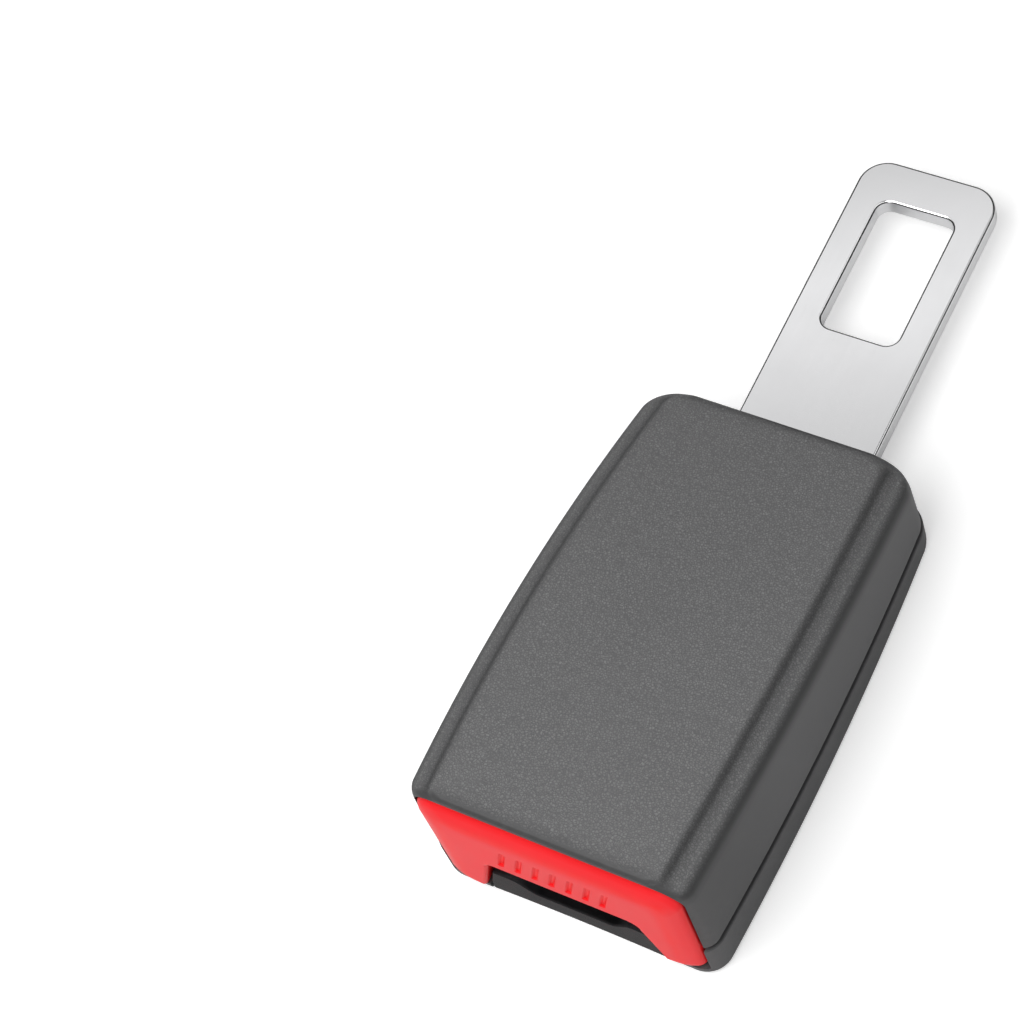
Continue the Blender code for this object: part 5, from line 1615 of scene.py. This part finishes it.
@dataclass
class MouthGuide:
    """The black lip, floor and cheeks that lead the belt's tongue in under the button."""

    button: PressButton
    front_setback: float = 0.8 * MM
    back: float = -53.4 * MM
    floor: float = 2.3 * MM
    top: float = 7.7 * MM
    gap: float = 0.4 * MM
    lip_thickness: float = 1.0 * MM
    lip_bottom: float = 0.25 * MM
    lip_top: float = 4.7 * MM
    lip_corner: float = 0.6 * MM
    ramp_depth: float = 3.0 * MM
    hollow: float = 0.15 * MM
    rise_start: float = 5.5 * MM
    rise_end: float = 9.5 * MM
    rise_share: float = 0.85
    across_steps: int = 44
    end_round: float = 0.25 * MM
    foot_clear: float = 0.1 * MM
    shade_reach: Flat = (-0.05 * MM, 0.25 * MM)
    shade_ease: float = 1.0 * MM
    section_trims: tuple[float, ...] = (0.2 * MM, 0.35 * MM, 0.4 * MM, 1.0 * MM, 0.3 * MM)

    def flank(self, z: float) -> float:
        """Return half the guide's width at a height, inside the button's mouth."""
        button = self.button
        share = (z - button.bottom) / (button.mouth_top - button.mouth_corner - button.bottom)
        taper = (button.mouth_bottom_half - button.mouth_top_half) * share
        return button.mouth_bottom_half - taper - self.gap

    def section(self, x: float) -> list[Point]:
        """Return the guide's section at a place across: hollow lip, ramp, floor and back.

        Args:
            x: The place across the guide.

        Returns:
            The section's points, with the lip lowest and furthest back in the middle.
        """
        half = self.flank(self.floor)
        front = self.button.front + self.front_setback + self.hollow * max(1 - (x / half) ** 2, 0.0)
        rise = self.rise_share * ramp(abs(x), self.rise_start, self.rise_end)
        lip_top = self.lip_top + (self.top - self.lip_top) * rise
        corners = [
            (front + self.lip_thickness, self.floor),
            (front + self.lip_thickness, self.lip_bottom),
            (front, self.lip_bottom),
            (front, lip_top),
            (front + self.ramp_depth, self.top),
            (self.back, self.top),
            (self.back, self.floor),
        ]
        return [(x, y, z) for y, z in soften(corners, self.section_trims, 6)]

    def build(self, material: Material) -> None:
        """Sweep the section across, fit it between the button's legs and soften its ends."""
        reach = self.flank(self.floor) + CUT_MARGIN
        steps = self.across_steps
        sections = [self.section(reach * (2 * index / steps - 1)) for index in range(steps + 1)]
        guide = Bench.loft("guide_lip", sections)
        low_half, high = self.flank(self.floor), self.top + CUT_MARGIN
        foot = self.lip_bottom - self.foot_clear
        high_half, corner = self.flank(high), self.lip_corner
        outline = arc((-low_half + corner, foot + corner), corner, 180, 270)
        outline += arc((low_half - corner, foot + corner), corner, 270, 360)
        outline += [(low_half, self.floor), (high_half, high), (-high_half, high), (-low_half, self.floor)]
        room = Bench.prism(
            "mouth_room", outline, self.button.front, self.back + CUT_MARGIN, Axis.LENGTHWAYS
        )
        Bench.combine(guide, Operation.KEEP, room)
        Bench.round_where(guide, self.on_end, self.end_round)
        Bench.smooth(guide)
        # Painted shade behind the lip, where the mouth shades it.
        mark(guide, "crease", self.painted_shade_at)
        present(guide, "housing", ["mouth_guide"], material)

    def painted_shade_at(self, place: Vector) -> float:
        """Return the painted shade on the guide behind its lip, where the mouth shades it."""
        behind = place.y - self.button.front - self.front_setback - self.hollow
        side = ramp(abs(place.x), self.rise_start + self.shade_ease, self.rise_end - self.shade_ease)
        return ramp(behind, *self.shade_reach) * (1 - side)

    def on_end(self, edge: Edge) -> bool:
        """Whether a sharp edge borders an end of the guide near its front."""
        limit = self.button.front + self.front_setback + 2 * self.ramp_depth
        near = max(vert.co.y for vert in edge.verts) < limit
        return near and min(abs(vert.co.x) for vert in edge.verts) > self.rise_end and sharp(edge, 50.0)


@dataclass
class Tongue:
    """The stamped steel plate with round corners, a slot and soft coined edges."""

    half: float = 11.0 * MM
    low: float = 4.7 * MM
    high: float = 7.7 * MM
    tip: float = TIP
    back: float = -53.1 * MM
    tip_corner: float = 4.5 * MM
    edge: float = 0.45 * MM
    slot_half: float = 6.2 * MM
    slot_length: float = 23.2 * MM
    slot_from_tip: float = 6.8 * MM
    slot_corner: float = 2.0 * MM
    hole_half: float = 5.6 * MM
    hole_back: float = -31.25 * MM
    hole_front: float = -38.25 * MM
    hole_corner: float = 1.0 * MM
    rivet_hole: float = 2.3 * MM

    def outline(self, inset: float, height: float) -> list[Point]:
        """Return the plate's outline, moved inwards, at a height."""
        corner = self.tip_corner - inset
        right, far = self.half - self.tip_corner, self.tip - self.tip_corner
        line = [(-self.half + inset, self.back + inset), (self.half - inset, self.back + inset)]
        line += arc((right, far), corner, 0, 90, 18) + arc((-right, far), corner, 90, 180, 18)
        return [(x, y, height) for x, y in line]

    def punch(self, name: str, left: float, right: float, near: float, far: float, corner: float) -> Piece:
        """Return a cutter for a hole whose rims are rounded on both faces.

        Args:
            name: The cutter's name.
            left: The hole's smallest x.
            right: Its largest x.
            near: Its smallest y.
            far: Its largest y.
            corner: The radius of its corners.

        Returns:
            The cutter, flared where it leaves the plate.
        """
        steps = [(wider, self.low + depth) for wider, depth in reversed(flare(self.edge))]
        steps += [(wider, self.high - depth) for wider, depth in flare(self.edge)]
        rings = []
        for wider, z in steps:
            line = rounded_rectangle(
                left - wider, right + wider, near - wider, far + wider, corner + wider, 10
            )
            rings.append([(x, y, z) for x, y in line])
        return Bench.loft(name, rings)

    def build(self, material: Material) -> None:
        """Model the plate with rounded edges and punch its holes."""
        rings = [self.outline(inset, self.low + rise) for inset, rise in quarter(self.edge)]
        rings += [self.outline(inset, self.high - rise) for inset, rise in reversed(quarter(self.edge))]
        plate = Bench.loft("tongue_steel", rings)
        far = self.tip - self.slot_from_tip
        slot = self.punch(
            "slot", -self.slot_half, self.slot_half, far - self.slot_length, far, self.slot_corner
        )
        hole = self.punch(
            "hole", -self.hole_half, self.hole_half, self.hole_front, self.hole_back, self.hole_corner
        )
        Bench.combine(plate, Operation.CUT, slot, hole)
        for side in Side:
            x = side.value * RIVET_X
            low, high = (x, RIVET_Y, self.low - CUT_MARGIN), (x, RIVET_Y, self.high + CUT_MARGIN)
            Bench.combine(plate, Operation.CUT, Bench.rod(f"bore_{side.label}", self.rivet_hole, low, high))
        Bench.smooth(plate)
        present(plate, "housing", ["tongue_plate"], material)


@dataclass(frozen=True)
class Coil:
    """One compression spring, and how a joint shortens it."""

    name: str
    start: Point
    end: Point
    radius: float
    turns: int
    joint: str
    keep: float
    wire: float = 0.3 * MM
    turn_steps: int = 26
    wire_sides: int = 10

    def height(self, turn: float, length: float) -> float:
        """Return the wire's height along the coil, whose first and last turns lie flat."""
        closed = 2.33 * self.wire
        pitch = min(max((turn - 1) / (self.turns - 2), 0.0), 1.0)
        lead_in = closed * min(turn, 1.0)
        lead_out = closed * max(turn - (self.turns - 1), 0.0)
        return self.wire + lead_in + (length - 2 * self.wire - 2 * closed) * pitch + lead_out

    def build(self, material: Material) -> None:
        """Wind the wire from its start to its end."""
        start = Vector(self.start)
        along = Vector(self.end) - start
        turn = along.to_track_quat("Z", "Y").to_matrix()
        rings = []
        for index in range(self.turns * self.turn_steps + 1):
            number = index / self.turn_steps
            angle = 2 * math.pi * number
            outward = Vector((math.cos(angle), math.sin(angle), 0))
            height = self.height(number, along.length)
            ring = []
            for corner in range(self.wire_sides):
                around = 2 * math.pi * corner / self.wire_sides
                across = self.radius - self.wire + self.wire * math.cos(around)
                upward = Vector((0, 0, height + self.wire * math.sin(around)))
                ring.append(tuple(start + turn @ (outward * across + upward)))
            rings.append(ring)
        coil = Bench.loft(f"coil_{self.name}", rings)
        Bench.smooth(coil, 50.0)
        present(coil, "housing", [self.name], material)
        tuple(self.end)
        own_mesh(coil)


@dataclass
class SpringSet:
    """All the springs: the ejector's, the button's two and the latch's."""

    ejector: Coil = Coil(
        "ejector_spring",
        start=(0, -21.75 * MM, 10.0 * MM),
        end=(0, -0.15 * MM, 10.0 * MM),
        radius=2.0 * MM,
        turns=9,
        joint="ejector_slide",
        keep=0.43,
    )
    latch: Coil = Coil(
        "latch_spring",
        start=(0, -22.05 * MM, 16.9 * MM),
        end=(0, -22.05 * MM, 23.03 * MM),
        radius=2.5 * MM,
        turns=4,
        joint="latch_tilt",
        keep=0.50,
    )
    button_x: float = 17.55 * MM
    button_z: float = 11.6 * MM
    button_start: float = -22.95 * MM
    button_end: float = -8.55 * MM
    button_radius: float = 2.2 * MM
    button_turns: int = 7
    button_keep: float = 0.652

    def build(self, material: Material) -> None:
        """Wind every spring."""
        coils = [self.ejector, self.latch]
        for side in Side:
            x = side.value * self.button_x
            start, end = (x, self.button_start, self.button_z), (x, self.button_end, self.button_z)
            size = (self.button_radius, self.button_turns)
            coils.append(
                Coil(f"button_spring_{side.label}", start, end, *size, "button_press", self.button_keep)
            )
        for coil in coils:
            coil.build(material)


@dataclass
class HiddenWorks:
    """The steel and plastic pieces inside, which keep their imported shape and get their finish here."""

    zinc: tuple[str, ...] = ("buckle_frame", "frame_rivet_left", "frame_rivet_right", "latch_plate")
    ground: tuple[str, ...] = ("latch_pin",)
    acetal: tuple[str, ...] = ("ejector", "spring_seat")

    @staticmethod
    def dress(names: Sequence[str], material: Material) -> None:
        """Put a material in every slot of the named nodes."""
        for name in names:
            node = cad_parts[name]
            if not node.data.materials:
                node.data.materials.append(material)
            for index in range(len(node.data.materials)):
                node.data.materials[index] = material
            log.info("%s: dressed in %s", name, material.name)

    def build(self, zinc: Material, ground: Material, acetal: Material) -> None:
        """Dress all the hidden pieces."""
        self.dress(self.zinc, zinc)
        self.dress(self.ground, ground)
        self.dress(self.acetal, acetal)


@dataclass(frozen=True)
class Lamp:
    """A soft square lamp that points at the object."""

    name: str
    place: Point
    size: float
    power: float
    aim: Point = (0.0, -0.02, 0.01)

    def build(self) -> None:
        """Add the lamp and aim it."""
        Bench.clear()
        bpy.ops.object.light_add(type="AREA", location=self.place)
        lamp = bpy.context.object
        lamp.name = self.name
        lamp.data.shape = "SQUARE"
        lamp.data.size = self.size
        lamp.data.energy = self.power
        away = Vector(self.place) - Vector(self.aim)
        lamp.rotation_euler = away.to_track_quat("Z", "Y").to_euler()


@dataclass
class Studio:
    """The plain table, its soft lamps, the dark curtain round it and the camera."""

    table_size: float = 8.0
    table_drop: float = 0.02 * MM
    table_colour: Colour = (0.86, 0.86, 0.86)
    table_glow: Flat = (0.40, 0.80)
    glow_reach: Flat = (0.05, 0.32)
    curtain_radius: float = 1.2
    curtain_low: float = 0.005
    curtain_tone: float = 0.03
    ceiling_height: float = 1.3
    ceiling_size: float = 3.2
    ceiling_bright: float = 1.25
    ceiling_dim: float = 0.57
    stripe_line: float = 0.89
    stripe_spread: float = 0.085
    stripe_slant: float = -0.35
    right_panel: Flat = (0.32, 0.42)
    near_panel: Flat = (0.10, -0.25)
    beam_left: Flat = (-0.12, -0.02)
    beam_right: Flat = (0.38, 0.30)
    beam_depth: float = 0.92
    sky: float = 0.42
    lamps: tuple[Lamp, ...] = (
        Lamp("key_lamp", (-0.10, -0.30, 0.62), 0.45, 2.9),
        Lamp("front_lamp", (0.10, -0.95, 0.40), 0.5, 1.7),
    )
    camera_place: Point = (0.144877, -0.169120, 0.403994)
    camera_turn: Point = (28.7599, 12.5603, 27.1362)
    camera_lens: float = 111.195
    camera_sensor: float = 36.0

    @staticmethod
    def rays(nodes: Nodes, *kinds: str) -> Socket:
        """Return 1 for the camera's own rays and the other named kinds of ray."""
        path = nodes.add("ShaderNodeLightPath")
        seen = path.outputs["Is Camera Ray"]
        for kind in kinds:
            seen = nodes.math("MAXIMUM", seen, path.outputs[kind])
        return seen

    @staticmethod
    def furnish(piece: Piece, name: str, material: Material, mirrored_only: bool) -> None:
        """Name and dress a piece of the set.

        Args:
            piece: The piece.
            name: Its name.
            material: Its material.
            mirrored_only: Whether only reflections meet it.
        """
        piece.name = name
        piece.data.materials.append(material)
        if mirrored_only:
            piece.visible_camera = False
            piece.visible_shadow = False
            piece.visible_diffuse = False

    def build_table(self) -> None:
        """Add the pale table top, which stays white in the picture but keeps the shadow."""
        material, nodes, shader = new_material("pale_table")
        cloud = nodes.noise(nodes.place(), scale=6.0, detail=2.0, roughness=0.5)
        away = nodes.add("ShaderNodeVectorMath", operation="LENGTH")
        nodes.join(nodes.place(), away.inputs[0])
        glow = nodes.band(away.outputs["Value"], *self.glow_reach, *self.table_glow)
        nodes.wire(shader, {
            "Base Color": nodes.mix(cloud, opaque(self.table_colour), opaque(self.table_colour, 0.99)),
            "Roughness": 0.9,
            "Specular IOR Level": 0.0,
            "Emission Color": opaque((1.0, 1.0, 1.0)),
            "Emission Strength": nodes.times(self.rays(nodes, "Is Transmission Ray"), glow),
        })
        Bench.clear()
        bpy.ops.mesh.primitive_plane_add(size=self.table_size, location=(0, 0, -self.table_drop))
        self.furnish(bpy.context.object, "table_top", material, False)

    def build_curtain(self) -> None:
        """Add a dark curtain round the set, which only reflections meet."""
        material, nodes, shader = new_material("curtain_cloth")
        nodes.wire(shader, {"Base Color": opaque((self.curtain_tone,) * 3), "Roughness": 1.0})
        Bench.clear()
        bpy.ops.mesh.primitive_cylinder_add(
            vertices=64,
            radius=self.curtain_radius,
            depth=self.ceiling_height - self.curtain_low,
            location=(0, 0, (self.curtain_low + self.ceiling_height) / 2),
            end_fill_type="NOTHING",
        )
        self.furnish(bpy.context.object, "dark_curtain", material, True)

    def build_ceiling(self) -> None:
        """Add a soft ceiling with bright panels, a stripe and a dark beam, which only reflections meet."""
        material, nodes, shader = new_material("ceiling_glow")
        split = nodes.add("ShaderNodeSeparateXYZ")
        nodes.join(nodes.place(), split.inputs[0])
        x, y = split.outputs["X"], split.outputs["Y"]
        slanted = nodes.math("MULTIPLY_ADD", x, self.stripe_slant, y)
        away = nodes.math("DIVIDE", nodes.math("SUBTRACT", slanted, self.stripe_line), self.stripe_spread)
        stripe = nodes.math("POWER", math.e, nodes.times(nodes.times(away, away), -1.0))
        panels = nodes.math("MAXIMUM", nodes.band(x, *self.right_panel), nodes.band(y, *self.near_panel))
        bright = nodes.math("MAXIMUM", panels, stripe)
        shown = nodes.math("MULTIPLY_ADD", bright, self.ceiling_bright - self.ceiling_dim, self.ceiling_dim)
        beam = nodes.times(nodes.band(x, *self.beam_left), nodes.band(x, *self.beam_right))
        nodes.wire(shader, {
            "Base Color": opaque((0.0, 0.0, 0.0)),
            "Specular IOR Level": 0.0,
            "Emission Color": opaque((1.0, 1.0, 1.0)),
            "Emission Strength": nodes.times(
                shown, nodes.math("SUBTRACT", 1.0, nodes.times(beam, self.beam_depth))
            ),
        })
        Bench.clear()
        bpy.ops.mesh.primitive_plane_add(size=self.ceiling_size, location=(0, 0, self.ceiling_height))
        self.furnish(bpy.context.object, "soft_ceiling", material, True)

    def build_world(self) -> None:
        """Light the set softly from all round, with white behind it."""
        world = bpy.data.worlds.new("soft_white")
        world.use_nodes = True
        bpy.context.scene.world = world
        nodes = Nodes(world.node_tree)
        seen = self.rays(nodes, "Is Glossy Ray", "Is Transmission Ray")
        strength = nodes.band(seen, 0.0, 1.0, self.sky, 1.0)
        nodes.wire(
            world.node_tree.nodes["Background"], {"Color": opaque((1.0, 1.0, 1.0)), "Strength": strength}
        )

    def build_camera(self) -> None:
        """Add the camera where the photograph was taken from."""
        Bench.clear()
        turn = [math.radians(angle) for angle in self.camera_turn]
        bpy.ops.object.camera_add(location=self.camera_place, rotation=turn)
        camera = bpy.context.object
        camera.name = "photo_camera"
        camera.data.lens = self.camera_lens
        camera.data.sensor_width = self.camera_sensor
        bpy.context.scene.camera = camera

    def build(self) -> None:
        """Set up the whole studio."""
        self.build_table()
        self.build_curtain()
        self.build_ceiling()
        self.build_world()
        for lamp in self.lamps:
            lamp.build()
        self.build_camera()
        bpy.context.scene.view_settings.view_transform = "Standard"


def main() -> None:
    """Build the studio and every piece of the extender."""
    logging.basicConfig(level=logging.INFO, format="%(name)s: %(message)s")
    grained = GrainedPlastic("grained_dark_grey", (0.145, 0.145, 0.147), 0.50).make()
    satin = MouldedPlastic("satin_dark_grey", (0.065, 0.065, 0.067), 0.42, specular=0.22).make()
    black = MouldedPlastic(
        "polished_black", (0.012, 0.012, 0.013), 0.25, texture_depth=0.002 * MM, specular=0.018
    ).make()
    red = MouldedPlastic(
        "press_red",
        (0.84, 0.022, 0.028),
        0.32,
        texture_depth=0.003 * MM,
        specular=0.075,
        worn_colour=(0.85, 0.12, 0.12),
        worn_share=0.1,
        # Deeper red painted on the button's bands, top edge and grooves, as painted shade and missing
        # sheen.
        shaded_band_colour=(0.86, 0.006, 0.008),
    ).make()
    bright = Steel(
        "bright_plated_steel",
        (0.80, 0.80, 0.81),
        0.15,
        line_depth=0.0005 * MM,
        streak=0.04,
        drift_depth=0.01,
    ).make()
    zinc = Steel(
        "satin_zinc_steel", (0.55, 0.56, 0.58), 0.38, line_depth=0.008 * MM, drift_depth=0.09
    ).make()
    ground = Steel("drawn_spring_steel", (0.42, 0.43, 0.45), 0.30, stretch=(0.2, 0.2, 0.2)).make()
    acetal = MouldedPlastic(
        "natural_acetal", (0.62, 0.61, 0.57), 0.45, worn_colour=(0.75, 0.74, 0.70)
    ).make()
    Studio().build()
    form = HousingForm()
    screws = Fasteners(form)
    UpperShell(form, screws).build(grained)
    LowerTray(form, screws).build(satin)
    button = PressButton()
    button.build(red)
    MouthGuide(button).build(black)
    Tongue().build(bright)
    SpringSet().build(ground)
    screws.build(zinc)
    HiddenWorks().build(zinc, ground, acetal)
    Bench.clear()


if __name__ == "__main__":
    main()
